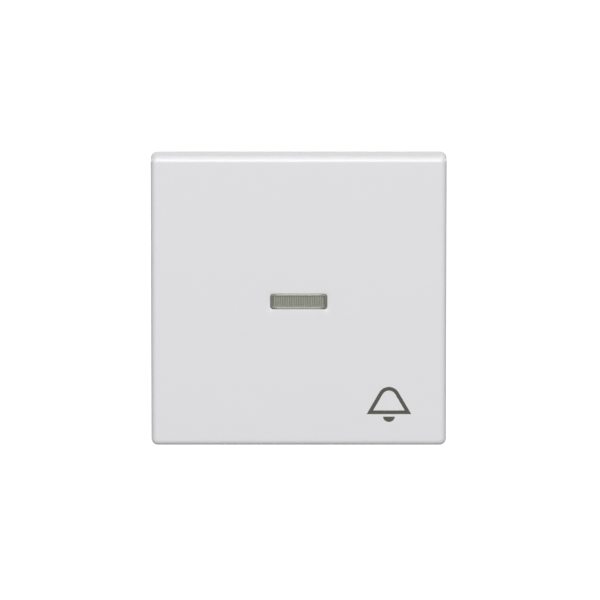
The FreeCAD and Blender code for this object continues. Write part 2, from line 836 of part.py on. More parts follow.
def lamp_strip(up):
    """Finger that rises to the lamp board, foot on the floor, and tail under a terminal screw."""
    t = strip_thickness
    foot = mechanism_depth - t
    tail = floor_rear_y + t
    finger_z = slot_near_z + finger_offset
    end_z = terminal_z + terminal_washer / 2 - slot_gap
    profile = [
        (foot, slot_near_z), (tail, slot_near_z), (tail, end_z), (floor_rear_y, end_z),
        (floor_rear_y, slot_near_z + t), (mechanism_depth, slot_near_z + t),
        (mechanism_depth, finger_z), (board_rear_y + running_gap, finger_z),
        (board_rear_y + running_gap, finger_z - t), (foot, finger_z - t),
    ]
    x = terminal_x
    strip = side_profile([(y, up * z) for y, z in profile], x - strip_width / 2, x + strip_width / 2)
    hole = hole_y(x, up * terminal_z, floor_rear_y - fit_gap, tail + 1, terminal_screw_r + fit_gap)
    return strip.cut(hole)


def terminal_washers():
    half = terminal_washer / 2
    y0 = floor_rear_y + strip_thickness
    washers = []
    for x, z in four(terminal_x, terminal_z):
        plate = block(x - half, x + half, y0, y0 + terminal_washer_thickness, z - half, z + half)
        washers.append(drilled(plate, x, z, terminal_screw_r + assembly_gap))
    return Part.makeCompound(washers)


def terminal_screws():
    seat = floor_rear_y + strip_thickness + terminal_washer_thickness
    screws = [
        slotted_screw(x, z, seat, mechanism_depth + screw_end_gap, terminal_screw_r, terminal_head_r,
                      terminal_head_height, 1)
        for x, z in four(terminal_x, terminal_z)
    ]
    return Part.makeCompound(screws)


def head_seat():
    """Where the right-hand claw screw's axis meets its slanted seat."""
    along = -(plate_thickness / 2 + (plate_half - claw_x) * math.tan(slant)) * math.cos(slant)
    return along


def claw_screw_right():
    start = vec(claw_x, -plate_thickness / 2, 0)
    along = vec(-math.sin(slant), math.cos(slant), 0)
    seat = start + along * head_seat()
    length = (claw_screw_end_y - seat.y) / math.cos(slant)
    shank = Part.makeCylinder(claw_screw_r, length, seat, along)
    head = Part.makeCylinder(claw_head_r, claw_head_height, seat - along * claw_head_height, along)
    screw = joined([shank, head])
    top = seat - along * claw_head_height
    arm = claw_head_r / 2
    for turn in (0, 90):
        blade = block(-arm, arm, 0, claw_head_height / 2, -arm / 4, arm / 4)
        blade.rotate(vec(0, 0, 0), vec(0, 1, 0), turn)
        blade.rotate(vec(0, 0, 0), vec(0, 0, 1), claw_slant)
        blade.translate(top)
        screw = screw.cut(blade)
    return screw


def claw_right():
    """A stamped claw: foot across the screw, blade bent forward, toothed edge outward."""
    t = claw_sheet
    base_x = claw_axis_x(claw_foot_y)
    tip_across = claw_foot_outer + claw_flare
    outline = [
        (-claw_foot_inner, 0), (claw_foot_outer - t / 2, 0), (claw_foot_outer, t / 2),
        (tip_across, claw_blade_length), (tip_across - t, claw_blade_length),
        (claw_foot_outer - t, t * 1.4), (claw_foot_outer - 1.4 * t, t), (-claw_foot_inner, t),
    ]
    points = []
    for across, forward in outline:
        dx, dy = claw_point(across, forward)
        points.append((base_x + dx, claw_foot_y + dy))
    body = top_profile(points, -claw_width / 2, claw_width / 2)
    collar = claw_rod(claw_foot_y - t / 2, claw_foot_y + t, claw_screw_r + 0.8)
    body = joined([body, collar])
    body = body.cut(claw_rod(claw_foot_y - 6 * t, claw_foot_y + 6 * t, claw_screw_r + running_gap))
    pitch = claw_width / claw_tooth_count
    tip = claw_point(tip_across, claw_blade_length)
    root = claw_point(tip_across, claw_blade_length - claw_tooth_depth)
    across = vec(math.cos(slant), math.sin(slant), 0)
    for i in range(claw_tooth_count):
        middle = -claw_width / 2 + (i + 0.5) * pitch
        corners = [
            vec(base_x + tip[0], claw_foot_y + tip[1], middle - pitch / 2),
            vec(base_x + tip[0], claw_foot_y + tip[1], middle + pitch / 2),
            vec(base_x + root[0], claw_foot_y + root[1], middle),
        ]
        face = Part.Face(Part.makePolygon(corners + corners[:1]))
        notch = face.extrude(across * (6 * t))
        notch.translate(across * (-3 * t))
        body = body.cut(notch)
    return body


parts = {
    "button_plate": button_plate(),
    "lens": lens(),
    "rocker_carrier": rocker_carrier(),
    "return_spring": return_spring(),
    "mechanism_cover": mechanism_cover(),
    "base_housing": base_housing(),
    "support_plate": support_plate(),
    "cover_screws": cover_screws(),
    "common_strip": common_strip(),
    "fixed_strip": fixed_strip(),
    "fixed_contact": fixed_contact(),
    "contact_arm": contact_arm(),
    "moving_contact": moving_contact(),
    "contact_spring": contact_spring(),
    "lamp_board": lamp_board(),
    "led": led(),
    "resistor": resistor(),
    "diode": diode(),
    "lamp_strip_upper": lamp_strip(1),
    "lamp_strip_lower": lamp_strip(-1),
    "terminal_washers": terminal_washers(),
    "terminal_screws": terminal_screws(),
    "claw_screw_right": claw_screw_right(),
    "claw_screw_left": mirrored_x(claw_screw_right()),
    "claw_right": claw_right(),
    "claw_left": mirrored_x(claw_right()),
}

os.makedirs("parts", exist_ok=True)
for name, shape in parts.items():
    shape.exportStep("parts/" + name + ".step")
    print(name, len(shape.Solids), "solid(s)", round(shape.Volume, 3), "mm3", shape.isValid())
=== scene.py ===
import bpy
import bmesh
import math
from mathutils import Matrix, Vector


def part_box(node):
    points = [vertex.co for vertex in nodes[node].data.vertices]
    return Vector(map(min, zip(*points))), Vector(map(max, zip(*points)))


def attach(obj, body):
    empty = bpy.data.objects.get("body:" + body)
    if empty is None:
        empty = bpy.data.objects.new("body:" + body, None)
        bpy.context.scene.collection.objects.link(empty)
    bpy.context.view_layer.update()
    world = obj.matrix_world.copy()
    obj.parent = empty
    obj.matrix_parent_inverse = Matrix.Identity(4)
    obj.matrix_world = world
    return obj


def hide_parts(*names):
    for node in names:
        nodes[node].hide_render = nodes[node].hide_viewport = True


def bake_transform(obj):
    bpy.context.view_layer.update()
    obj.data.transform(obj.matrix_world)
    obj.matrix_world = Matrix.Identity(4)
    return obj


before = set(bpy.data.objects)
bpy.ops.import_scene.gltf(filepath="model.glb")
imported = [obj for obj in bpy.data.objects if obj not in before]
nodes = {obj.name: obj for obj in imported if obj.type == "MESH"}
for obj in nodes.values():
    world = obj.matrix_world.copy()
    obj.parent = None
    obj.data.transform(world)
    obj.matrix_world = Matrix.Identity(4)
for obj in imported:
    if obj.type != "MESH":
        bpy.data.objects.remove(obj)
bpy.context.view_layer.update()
mm = 0.001


# sRGB hex to the linear values that shaders take
def toLinear(hexColour):
    channels = []
    for i in (1, 3, 5):
        value = int(hexColour[i:i + 2], 16) / 255
        channels.append(value / 12.92 if value <= 0.04045 else ((value + 0.055) / 1.055) ** 2.4)
    return (*channels, 1.0)


# fills a node's inputs with values, with sockets, or with another node's first output
def fillInputs(tree, node, inputs):
    for name, value in inputs.items():
        if isinstance(value, bpy.types.Node):
            value = value.outputs[0]
        if isinstance(value, bpy.types.NodeSocket):
            tree.links.new(value, node.inputs[name])
        else:
            node.inputs[name].default_value = value
    return node


def addNode(tree, kind, inputs=None, **options):
    node = tree.nodes.new(kind)
    for name, value in options.items():
        setattr(node, name, value)
    return fillInputs(tree, node, inputs or {})


# the emptied node tree of a material or a world
def emptyTree(owner):
    owner.use_nodes = True
    owner.node_tree.nodes.clear()
    return owner.node_tree


def newMaterial(name, surface):
    material = bpy.data.materials.new(name)
    tree = emptyTree(material)
    shader = addNode(tree, "ShaderNodeBsdfPrincipled", surface)
    addNode(tree, "ShaderNodeOutputMaterial", {"Surface": shader})
    place = addNode(tree, "ShaderNodeTexCoord").outputs["Object"]
    return material, tree, shader, place


# most values of a noise texture lie between these two
noiseLow, noiseHigh = 0.3, 0.7


# dulls a surface with one texture, raises it with another, and rounds its hard edges in the shading
def addRelief(tree, shader, s, dull, dullSpan, height, depth, strength):
    gloss = addNode(tree, "ShaderNodeMapRange", {
        "Value": dull, "From Min": dullSpan[0], "From Max": dullSpan[1], "To Min": s["low"],
        "To Max": s["high"]})
    edges = addNode(tree, "ShaderNodeBevel", {"Radius": s["edge"] * mm}, samples=4)
    bump = addNode(tree, "ShaderNodeBump", {
        "Strength": strength, "Distance": depth * mm, "Height": height, "Normal": edges})
    fillInputs(tree, shader, {"Roughness": gloss, "Normal": bump})


# ABS from a polished tool: an even gloss, with a long, shallow orange peel that only reflections show
glossAbs = {"colour": "#e3e3e5", "low": 0.27, "high": 0.31, "peelSize": 1.6, "peelDepth": 0.0004,
            "rubSize": 9.0, "edge": 0.06}


def whiteGlossAbs():
    s = glossAbs
    material, tree, shader, place = newMaterial("whiteGlossAbs", {
        "Base Color": toLinear(s["colour"]), "IOR": 1.54})
    peel = addNode(tree, "ShaderNodeTexNoise", {
        "Vector": place, "Scale": 1 / (s["peelSize"] * mm), "Detail": 1.0, "Roughness": 0.4})
    rub = addNode(tree, "ShaderNodeTexNoise", {
        "Vector": place, "Scale": 1 / (s["rubSize"] * mm), "Detail": 6.0, "Roughness": 0.6})
    addRelief(tree, shader, s, rub, (0, 1), peel, s["peelDepth"], 1.0)
    return material


# a moulded technical plastic with the fine grain of a spark-eroded tool and slightly uneven colour
def mouldedPlastic(name, s):
    material, tree, shader, place = newMaterial(name, {"IOR": s["ior"]})
    grain = addNode(tree, "ShaderNodeTexNoise", {
        "Vector": place, "Scale": 1 / (s["grainSize"] * mm), "Detail": 3.0, "Roughness": 0.6})
    flow = addNode(tree, "ShaderNodeTexNoise", {
        "Vector": place, "Scale": 1 / (s["flowSize"] * mm), "Detail": 4.0, "Distortion": 1.2})
    tone = addNode(tree, "ShaderNodeMix", {
        0: flow, 6: toLinear(s["colour"]), 7: toLinear(s["shade"])}, data_type="RGBA")
    fillInputs(tree, shader, {"Base Color": tone.outputs[2]})
    addRelief(tree, shader, s, grain, (noiseLow, noiseHigh), grain, s["grainDepth"], 0.8)
    return material


# metal: stretch gives the rolling or drawing direction, and tarnish the second tone
def workedMetal(name, s):
    material, tree, shader, place = newMaterial(name, {"Metallic": 1.0})
    along = addNode(tree, "ShaderNodeMapping", {"Vector": place, "Scale": s["stretch"]})
    lines = addNode(tree, "ShaderNodeTexNoise", {
        "Vector": along, "Scale": 1 / (s["lineSize"] * mm), "Detail": 5.0, "Roughness": 0.65})
    cloud = addNode(tree, "ShaderNodeTexNoise", {
        "Vector": place, "Scale": 1 / (s["cloudSize"] * mm), "Detail": 5.0, "Distortion": 0.8})
    share = addNode(tree, "ShaderNodeMapRange", {"Value": cloud, "From Min": 0.38, "From Max": 0.68})
    tone = addNode(tree, "ShaderNodeMix", {
        0: share, 6: toLinear(s["colour"]), 7: toLinear(s["tarnish"])}, data_type="RGBA")
    fillInputs(tree, shader, {"Base Color": tone.outputs[2]})
    addRelief(tree, shader, s, lines, (noiseLow, noiseHigh), lines, s["lineDepth"], 0.6)
    return material


# polycarbonate, smoke-grey and a little milky, so that the lamp behind it spreads; the fluted floor
# scatters more than the clear border, which shows the dark inside; along its two long edges the border
# carries a painted highlight, a pale opaque band
clearBorder = {"colour": "#b0b2a3", "roughness": 0.12, "milk": 0.46, "hazeSize": 1.2, "paintedGleam": "#b2b3a9",
               "edges": [(1.16, 1.24), (-1.02, -1.08)], "reach": 4.6, "fade": 0.8}
flutedFloor = {"colour": "#c4c6b9", "roughness": 0.16, "milk": 0.55, "hazeSize": 0.6, "edges": []}


def smokedPolycarbonate(name, s):
    colour, clear = toLinear(s["colour"]), 1 - s["milk"]
    material, tree, shader, place = newMaterial(name, {"IOR": 1.585})
    haze = addNode(tree, "ShaderNodeTexNoise", {
        "Vector": place, "Scale": 1 / (s["hazeSize"] * mm), "Detail": 3.0})
    gloss = addNode(tree, "ShaderNodeMapRange", {
        "Value": haze, "From Min": noiseLow, "From Max": noiseHigh,
        "To Min": s["roughness"] * 0.7, "To Max": s["roughness"] * 1.3})
    parts = addNode(tree, "ShaderNodeSeparateXYZ", {0: place}).outputs
    # painted highlight: each band along a long edge is painted the pale colour and made opaque there, fading
    # out towards the ends in X
    for inner, outer in s["edges"]:
        along = addNode(tree, "ShaderNodeMath", {0: parts["X"]}, operation="ABSOLUTE")
        reach = addNode(tree, "ShaderNodeMapRange", {
            "Value": along, "From Min": s["reach"] * mm, "From Max": (s["reach"] - s["fade"]) * mm})
        edge = addNode(tree, "ShaderNodeMapRange", {
            "Value": parts["Z"], "From Min": inner * mm, "From Max": outer * mm, "To Max": reach})
        tone = addNode(tree, "ShaderNodeMix", {
            0: edge, 6: colour, 7: toLinear(s["paintedGleam"])}, data_type="RGBA")
        rest = addNode(tree, "ShaderNodeMath", {0: 1.0, 1: edge}, operation="SUBTRACT")
        colour = tone.outputs[2]
        clear = addNode(tree, "ShaderNodeMath", {0: clear, 1: rest}, operation="MULTIPLY")
    fillInputs(tree, shader, {"Base Color": colour, "Transmission Weight": clear, "Roughness": gloss})
    return material


# pad-printed ink: thin, satin, with the pad's faint mottle
padInk = {"colour": "#414138", "worn": "#4e4e44", "roughness": 0.42, "mottleSize": 0.35}


def padPrintedInk():
    s = padInk
    material, tree, shader, place = newMaterial("padPrintedInk", {"Roughness": s["roughness"], "IOR": 1.5})
    mottle = addNode(tree, "ShaderNodeTexNoise", {
        "Vector": place, "Scale": 1 / (s["mottleSize"] * mm), "Detail": 4.0})
    tone = addNode(tree, "ShaderNodeMix", {
        0: mottle, 6: toLinear(s["colour"]), 7: toLinear(s["worn"])}, data_type="RGBA")
    fillInputs(tree, shader, {"Base Color": tone.outputs[2]})
    return material


# cast epoxy of the lamp: clear with a warm cast
lampResin = {"colour": "#f3ecd8", "clear": 0.92, "flowSize": 0.8, "low": 0.03, "high": 0.12}


def castEpoxy():
    s = lampResin
    material, tree, shader, place = newMaterial("castEpoxy", {
        "Base Color": toLinear(s["colour"]), "IOR": 1.53, "Transmission Weight": s["clear"]})
    flow = addNode(tree, "ShaderNodeTexNoise", {
        "Vector": place, "Scale": 1 / (s["flowSize"] * mm), "Detail": 2.0})
    gloss = addNode(tree, "ShaderNodeMapRange", {"Value": flow, "To Min": s["low"], "To Max": s["high"]})
    fillInputs(tree, shader, {"Roughness": gloss})
    return material


# colour bands along a body's length (Z), each with its middle, width and colour: the beige lacquer of a
# carbon-film resistor with four generic rings, and a glass-black diode with its printed cathode band
resistorPaint = {"body": "#cdb68a", "roughness": 0.28, "ior": 1.5, "bands": [
    (-1.25, 0.32, "#8a5a2c"), (-0.55, 0.32, "#1e1c1a"), (0.15, 0.32, "#b5342a"), (1.2, 0.32, "#c59a3a")]}
diodePaint = {"body": "#17171a", "roughness": 0.36, "ior": 1.55, "bands": [(1.1, 0.5, "#b9b9b5")]}


def bandedPaint(name, s):
    material, tree, shader, place = newMaterial(name, {"Roughness": s["roughness"], "IOR": s["ior"]})
    height = addNode(tree, "ShaderNodeSeparateXYZ", {0: place}).outputs["Z"]
    colour = toLinear(s["body"])
    for middle, width, band in s["bands"]:
        inside = addNode(tree, "ShaderNodeMath", {
            0: height, 1: middle * mm, 2: width / 2 * mm}, operation="COMPARE")
        colour = addNode(tree, "ShaderNodeMix", {
            0: inside, 6: colour, 7: toLinear(band)}, data_type="RGBA").outputs[2]
    fillInputs(tree, shader, {"Base Color": colour})
    return material


# glass-epoxy board under green solder mask: the weave shows faintly through it
boardMask = {"colour": "#1f5b3b", "shade": "#17482f", "roughness": 0.34, "coat": 0.4, "coatRoughness": 0.15,
             "cloudSize": 2.0, "weave": 0.5, "depth": 0.004}


def solderMask():
    s = boardMask
    material, tree, shader, place = newMaterial("solderMask", {
        "Roughness": s["roughness"], "IOR": 1.5, "Coat Weight": s["coat"],
        "Coat Roughness": s["coatRoughness"]})
    turn = addNode(tree, "ShaderNodeMapping", {"Vector": place, "Rotation": (math.radians(90), 0, 0)})
    weave = addNode(tree, "ShaderNodeTexChecker", {"Vector": turn, "Scale": 1 / (s["weave"] * mm)})
    cloud = addNode(tree, "ShaderNodeTexNoise", {
        "Vector": place, "Scale": 1 / (s["cloudSize"] * mm), "Detail": 4.0})
    tone = addNode(tree, "ShaderNodeMix", {
        0: cloud, 6: toLinear(s["colour"]), 7: toLinear(s["shade"])}, data_type="RGBA")
    bump = addNode(tree, "ShaderNodeBump", {
        "Strength": 0.3, "Distance": s["depth"] * mm, "Height": weave.outputs["Fac"]})
    fillInputs(tree, shader, {"Base Color": tone.outputs[2], "Normal": bump})
    return material


whiteAbs = whiteGlossAbs()
lensPlastic = smokedPolycarbonate("smokedPolycarbonate", clearBorder)
flutePlastic = smokedPolycarbonate("flutedPolycarbonate", flutedFloor)
signInk = padPrintedInk()
lampEpoxy = castEpoxy()
resistorLacquer = bandedPaint("ringedLacquer", resistorPaint)
diodeEpoxy = bandedPaint("bandedEpoxy", diodePaint)
boardGreen = solderMask()
# acetal: dense, slightly waxy off-white
carrierAcetal = mouldedPlastic("mouldedAcetal", {
    "colour": "#cfd0cb", "shade": "#c4c5c0", "low": 0.34, "high": 0.5, "grainSize": 0.22, "grainDepth": 0.006,
    "flowSize": 12.0, "edge": 0.12, "ior": 1.48})
# glass-filled nylon: dark grey, matt, with fibres that dull the surface unevenly
coverNylon = mouldedPlastic("glassFilledNylon", {
    "colour": "#4a4c4d", "shade": "#3d3f40", "low": 0.42, "high": 0.66, "grainSize": 0.16, "grainDepth": 0.01,
    "flowSize": 7.0, "edge": 0.12, "ior": 1.53})
# urea thermoset: mid grey, hard and even
housingUrea = mouldedPlastic("mouldedUrea", {
    "colour": "#8d9091", "shade": "#808384", "low": 0.36, "high": 0.55, "grainSize": 0.2, "grainDepth": 0.007,
    "flowSize": 10.0, "edge": 0.15, "ior": 1.6})
# cold-rolled sheet, zinc plated: bluish bright with rolling lines and soft clouds
zincSheet = workedMetal("zincPlatedSheet", {
    "colour": "#c3c6c8", "tarnish": "#aeb1b3", "low": 0.26, "high": 0.42, "stretch": (1.0, 1.0, 0.12),
    "lineSize": 0.35, "cloudSize": 5.0, "lineDepth": 0.004, "edge": 0.15})
# turned screws, zinc with yellow passivation
screwZinc = workedMetal("yellowPassivatedZinc", {
    "colour": "#cdc6ac", "tarnish": "#b9a67e", "low": 0.2, "high": 0.34, "stretch": (1.0, 1.0, 1.0),
    "lineSize": 0.2, "cloudSize": 1.5, "lineDepth": 0.002, "edge": 0.06})
# patented drawn spring wire with a thin oil film
springWire = workedMetal("drawnSpringWire", {
    "colour": "#9a9a98", "tarnish": "#7f7d79", "low": 0.18, "high": 0.32, "stretch": (1.0, 1.0, 1.0),
    "lineSize": 0.15, "cloudSize": 2.5, "lineDepth": 0.002, "edge": 0.04})
# half-hard brass strip, a little dulled
brassStrip = workedMetal("stampedBrass", {
    "colour": "#d6b365", "tarnish": "#b58f4b", "low": 0.2, "high": 0.38, "stretch": (1.0, 1.0, 0.15),
    "lineSize": 0.25, "cloudSize": 3.5, "lineDepth": 0.003, "edge": 0.12})
# fine-grain silver alloy of the contact rivets
contactSilver = workedMetal("headedSilver", {
    "colour": "#e6e3dc", "tarnish": "#cfcabf", "low": 0.14, "high": 0.26, "stretch": (1.0, 1.0, 1.0),
    "lineSize": 0.12, "cloudSize": 1.0, "lineDepth": 0.001, "edge": 0.05})
# tin solder and tinned leads
tinSolder = workedMetal("reflowedTin", {
    "colour": "#d5d6d6", "tarnish": "#b8baba", "low": 0.12, "high": 0.3, "stretch": (1.0, 1.0, 1.0),
    "lineSize": 0.3, "cloudSize": 0.8, "lineDepth": 0.004, "edge": 0.03})
print("materials made:", len(bpy.data.materials))


def addObject(name, data):
    piece = bpy.data.objects.new(name, data)
    bpy.context.scene.collection.objects.link(piece)
    return piece


# meshes are drawn in millimetres and stored in metres; corners closer than the weld become one
weld = 0.0005


def newPiece(name, corners, faces, material):
    mesh = bpy.data.meshes.new(name)
    mesh.from_pydata([Vector(c) * mm for c in corners], [], faces)
    mesh.materials.append(material)
    tidy = bmesh.new()
    tidy.from_mesh(mesh)
    bmesh.ops.remove_doubles(tidy, verts=tidy.verts, dist=weld * mm)
    bmesh.ops.recalc_face_normals(tidy, faces=tidy.faces)
    tidy.to_mesh(mesh)
    tidy.free()
    return addObject(name, mesh)


# swaps the live modifiers for the plain mesh that they make
def settle(piece):
    shown = piece.evaluated_get(bpy.context.evaluated_depsgraph_get())
    mesh = bpy.data.meshes.new_from_object(shown)
    piece.modifiers.clear()
    piece.data = mesh
    mesh.name = piece.name


# a small radius on each hard edge, with the flat faces kept flat in the shading
def easeEdges(piece, width):
    piece.data.shade_smooth()
    bevel = piece.modifiers.new("easedEdges", "BEVEL")
    bevel.width = width * mm
    bevel.segments = 2
    bevel.limit_method = "ANGLE"
    bevel.angle_limit = math.radians(35)
    normals = piece.modifiers.new("flatFaces", "WEIGHTED_NORMAL")
    normals.keep_sharp = True
    settle(piece)


# smooth shading, with the edges sharper than the angle left hard
def smoothFaces(piece, angle):
    piece.data.shade_smooth()
    piece.data.set_sharp_from_angle(angle=math.radians(angle))


def cutWith(piece, cutter):
    cut = piece.modifiers.new("cut", "BOOLEAN")
    cut.object = cutter
    cut.operation = "DIFFERENCE"
    cut.solver = "EXACT"
    settle(piece)
    bpy.data.objects.remove(cutter)


def joinPieces(pieces):
    with bpy.context.temp_override(active_object=pieces[0], selected_editable_objects=pieces):
        bpy.ops.object.join()
    return pieces[0]


# turns local Z to +Y by toward 1 or to -Y by -1, and moves the piece to a place in millimetres
def standPiece(piece, place, toward):
    turn = Matrix.Rotation(math.radians(-90 * toward), 4, "X")
    piece.data.transform(Matrix.Translation(Vector(place) * mm) @ turn)


# a bar with the given low and high corners
def barPiece(name, low, high, material):
    corners = [(x, y, z) for x in (low[0], high[0]) for y in (low[1], high[1]) for z in (low[2], high[2])]
    faces = [(0, 1, 3, 2), (4, 6, 7, 5), (0, 4, 5, 1), (2, 3, 7, 6), (0, 2, 6, 4), (1, 5, 7, 3)]
    return newPiece(name, corners, faces, material)


# a body turned about Z from (radius, height) points, closed on the axis at both ends
def turnedPiece(name, profile, material, steps=32):
    corners = []
    rows = []
    for radius, height in profile:
        if radius == 0:
            rows.append([len(corners)] * steps)
            corners.append((0, 0, height))
        else:
            rows.append(list(range(len(corners), len(corners) + steps)))
            for i in range(steps):
                turn = 2 * math.pi * i / steps
                corners.append((radius * math.cos(turn), radius * math.sin(turn), height))
    faces = []
    for near, far in zip(rows, rows[1:]):
        for i in range(steps):
            j = (i + 1) % steps
            face = []
            for corner in (near[i], near[j], far[j], far[i]):
                if corner not in face:
                    face.append(corner)
            if len(face) > 2:
                faces.append(face)
    return newPiece(name, corners, faces, material)


# four-sided faces that join each loop of points to the next
def loopsToFaces(count, length, closed=True):
    faces = []
    for k in range(count if closed else count - 1):
        near = k * length
        far = ((k + 1) % count) * length
        for i in range(length):
            j = (i + 1) % length
            faces.append((near + i, near + j, far + j, far + i))
    return faces


# a prism along one axis from an outline given in the other two
def prismPiece(name, outline, low, high, axis, material):
    corners = []
    for level in (low, high):
        for a, b in outline:
            corner = [a, b]
            corner.insert(axis, level)
            corners.append(tuple(corner))
    count = len(outline)
    faces = [list(range(count)), list(range(count, 2 * count))] + loopsToFaces(2, count, closed=False)
    return newPiece(name, corners, faces, material)


# round wire along a path, made from a bevelled curve
def wirePiece(name, points, radius, material):
    curve = bpy.data.curves.new(name, "CURVE")
    curve.dimensions = "3D"
    curve.bevel_depth = radius * mm
    curve.bevel_resolution = 3
    curve.use_fill_caps = True
    spline = curve.splines.new("POLY")
    spline.points.add(len(points) - 1)
    for point, place in zip(spline.points, points):
        point.co = (*(Vector(place) * mm), 1)
    drawn = addObject(name + "Path", curve)
    shown = drawn.evaluated_get(bpy.context.evaluated_depsgraph_get())
    mesh = bpy.data.meshes.new_from_object(shown)
    bpy.data.objects.remove(drawn)
    mesh.materials.clear()
    mesh.materials.append(material)
    mesh.shade_smooth()
    return addObject(name, mesh)


def newTree(name, inputs):
    tree = bpy.data.node_groups.new(name, "GeometryNodeTree")
    tree.interface.new_socket("Geometry", in_out="INPUT", socket_type="NodeSocketGeometry")
    tree.interface.new_socket("Geometry", in_out="OUTPUT", socket_type="NodeSocketGeometry")
    for label, (kind, value) in inputs.items():
        socket = tree.interface.new_socket(label, in_out="INPUT", socket_type="NodeSocket" + kind)
        if value is not None:
            socket.default_value = value
    return tree, addNode(tree, "NodeGroupInput").outputs


# ends a tree with real geometry in the piece's material
def closeTree(tree, geometry, material):
    real = addNode(tree, "GeometryNodeRealizeInstances", {"Geometry": geometry})
    painted = addNode(tree, "GeometryNodeSetMaterial", {"Geometry": real, "Material": material})
    addNode(tree, "NodeGroupOutput", {"Geometry": painted})
    return tree


# runs one tree on a piece with its own sizes, and keeps the plain mesh
def growPiece(piece, tree, values):
    modifier = piece.modifiers.new(tree.name, "NODES")
    modifier.node_group = tree
    for item in tree.interface.items_tree:
        if item.in_out == "INPUT" and item.name in values:
            modifier[item.identifier] = values[item.name]
    settle(piece)
    return piece


# a coil spring along Y: open turns in the middle that flatten into a closed half turn at each end
def springTree():
    tree, sizes = newTree("coilSpring", {
        "Mean Radius": ("Float", 0.0017), "Wire Radius": ("Float", 0.0002), "Start": ("Float", 0.0),
        "Length": ("Float", 0.004), "Turns": ("Float", 4.0), "Flat Share": ("Float", 0.12),
        "Material": ("Material", None)})
    spiral = addNode(tree, "GeometryNodeCurveSpiral", {
        "Resolution": 28, "Rotations": sizes["Turns"], "Start Radius": sizes["Mean Radius"],
        "End Radius": sizes["Mean Radius"], "Height": 0.0})
    share = addNode(tree, "GeometryNodeSplineParameter").outputs["Factor"]
    flatEnd = addNode(tree, "ShaderNodeMath", {0: 1.0, 1: sizes["Flat Share"]}, operation="SUBTRACT")
    topEnd = addNode(tree, "ShaderNodeMath", {
        0: sizes["Length"], 1: sizes["Wire Radius"]}, operation="SUBTRACT")
    rise = addNode(tree, "ShaderNodeMapRange", {
        "Value": share, "From Min": sizes["Flat Share"], "From Max": flatEnd,
        "To Min": sizes["Wire Radius"], "To Max": topEnd}, interpolation_type="SMOOTHSTEP")
    lift = addNode(tree, "ShaderNodeCombineXYZ", {"Z": rise})
    coil = addNode(tree, "GeometryNodeSetPosition", {"Geometry": spiral, "Offset": lift})
    section = addNode(tree, "GeometryNodeCurvePrimitiveCircle", {
        "Resolution": 12, "Radius": sizes["Wire Radius"]})
    wire = addNode(tree, "GeometryNodeCurveToMesh", {
        "Curve": coil, "Profile Curve": section, "Fill Caps": True})
    start = addNode(tree, "ShaderNodeCombineXYZ", {"Y": sizes["Start"]})
    turned = addNode(tree, "GeometryNodeTransform", {
        "Geometry": wire, "Translation": start, "Rotation": (math.radians(-90), 0.0, 0.0)})
    smooth = addNode(tree, "GeometryNodeSetShadeSmooth", {"Geometry": turned})
    return closeTree(tree, smooth, sizes["Material"])


# winds a V thread round a screw blank that stands along Z
def threadTree():
    tree, sizes = newTree("screwThread", {
        "Root Radius": ("Float", 0.00125), "Depth": ("Float", 0.00025), "Pitch": ("Float", 0.0005),
        "Start": ("Float", 0.0), "Length": ("Float", 0.01), "Material": ("Material", None)})
    turns = addNode(tree, "ShaderNodeMath", {0: sizes["Length"], 1: sizes["Pitch"]}, operation="DIVIDE")
    spiral = addNode(tree, "GeometryNodeCurveSpiral", {
        "Resolution": 20, "Rotations": turns, "Start Radius": sizes["Root Radius"],
        "End Radius": sizes["Root Radius"], "Height": sizes["Length"]})
    upright = addNode(tree, "GeometryNodeSetCurveNormal", {"Curve": spiral}, mode="Z_UP")
    section = addNode(tree, "GeometryNodeCurvePrimitiveCircle", {"Resolution": 4, "Radius": sizes["Depth"]})
    ridge = addNode(tree, "GeometryNodeCurveToMesh", {
        "Curve": upright, "Profile Curve": section, "Fill Caps": True})
    start = addNode(tree, "ShaderNodeCombineXYZ", {"Z": sizes["Start"]})
    placed = addNode(tree, "GeometryNodeTransform", {"Geometry": ridge, "Translation": start})
    flat = addNode(tree, "GeometryNodeSetShadeSmooth", {"Geometry": placed, "Shade Smooth": False})
    both = addNode(tree, "GeometryNodeJoinGeometry", {0: sizes["Geometry"]})
    fillInputs(tree, both, {0: flat})
    return closeTree(tree, both, sizes["Material"])


# a copy counts as one of the lower half only when it stands further below the middle than this
lowerHalf = -0.0001


# sets copies of a piece out on a grid in the plane of the wall; the lower half may be turned about Y
def gridTree():
    tree, sizes = newTree("setOut", {
        "Columns": ("Int", 2), "Rows": ("Int", 2), "Width": ("Float", 0.02), "Height": ("Float", 0.02),
        "Lower Turn": ("Float", 0.0), "Material": ("Material", None)})
    grid = addNode(tree, "GeometryNodeMeshGrid", {
        "Size X": sizes["Width"], "Size Y": sizes["Height"], "Vertices X": sizes["Columns"],
        "Vertices Y": sizes["Rows"]})
    standing = addNode(tree, "GeometryNodeTransform", {
        "Geometry": grid, "Rotation": (math.radians(90), 0.0, 0.0)})
    height = addNode(tree, "ShaderNodeSeparateXYZ", {0: addNode(tree, "GeometryNodeInputPosition")})
    lower = addNode(tree, "ShaderNodeMath", {0: height.outputs["Z"], 1: lowerHalf}, operation="LESS_THAN")
    angle = addNode(tree, "ShaderNodeMath", {0: lower, 1: sizes["Lower Turn"]}, operation="MULTIPLY")
    turn = addNode(tree, "ShaderNodeCombineXYZ", {"Y": angle})
    copies = addNode(tree, "GeometryNodeInstanceOnPoints", {
        "Points": standing, "Instance": sizes["Geometry"], "Rotation": turn})
    return closeTree(tree, copies, sizes["Material"])


coilSpring = springTree()
screwThread = threadTree()
setOut = gridTree()
print("node trees made")

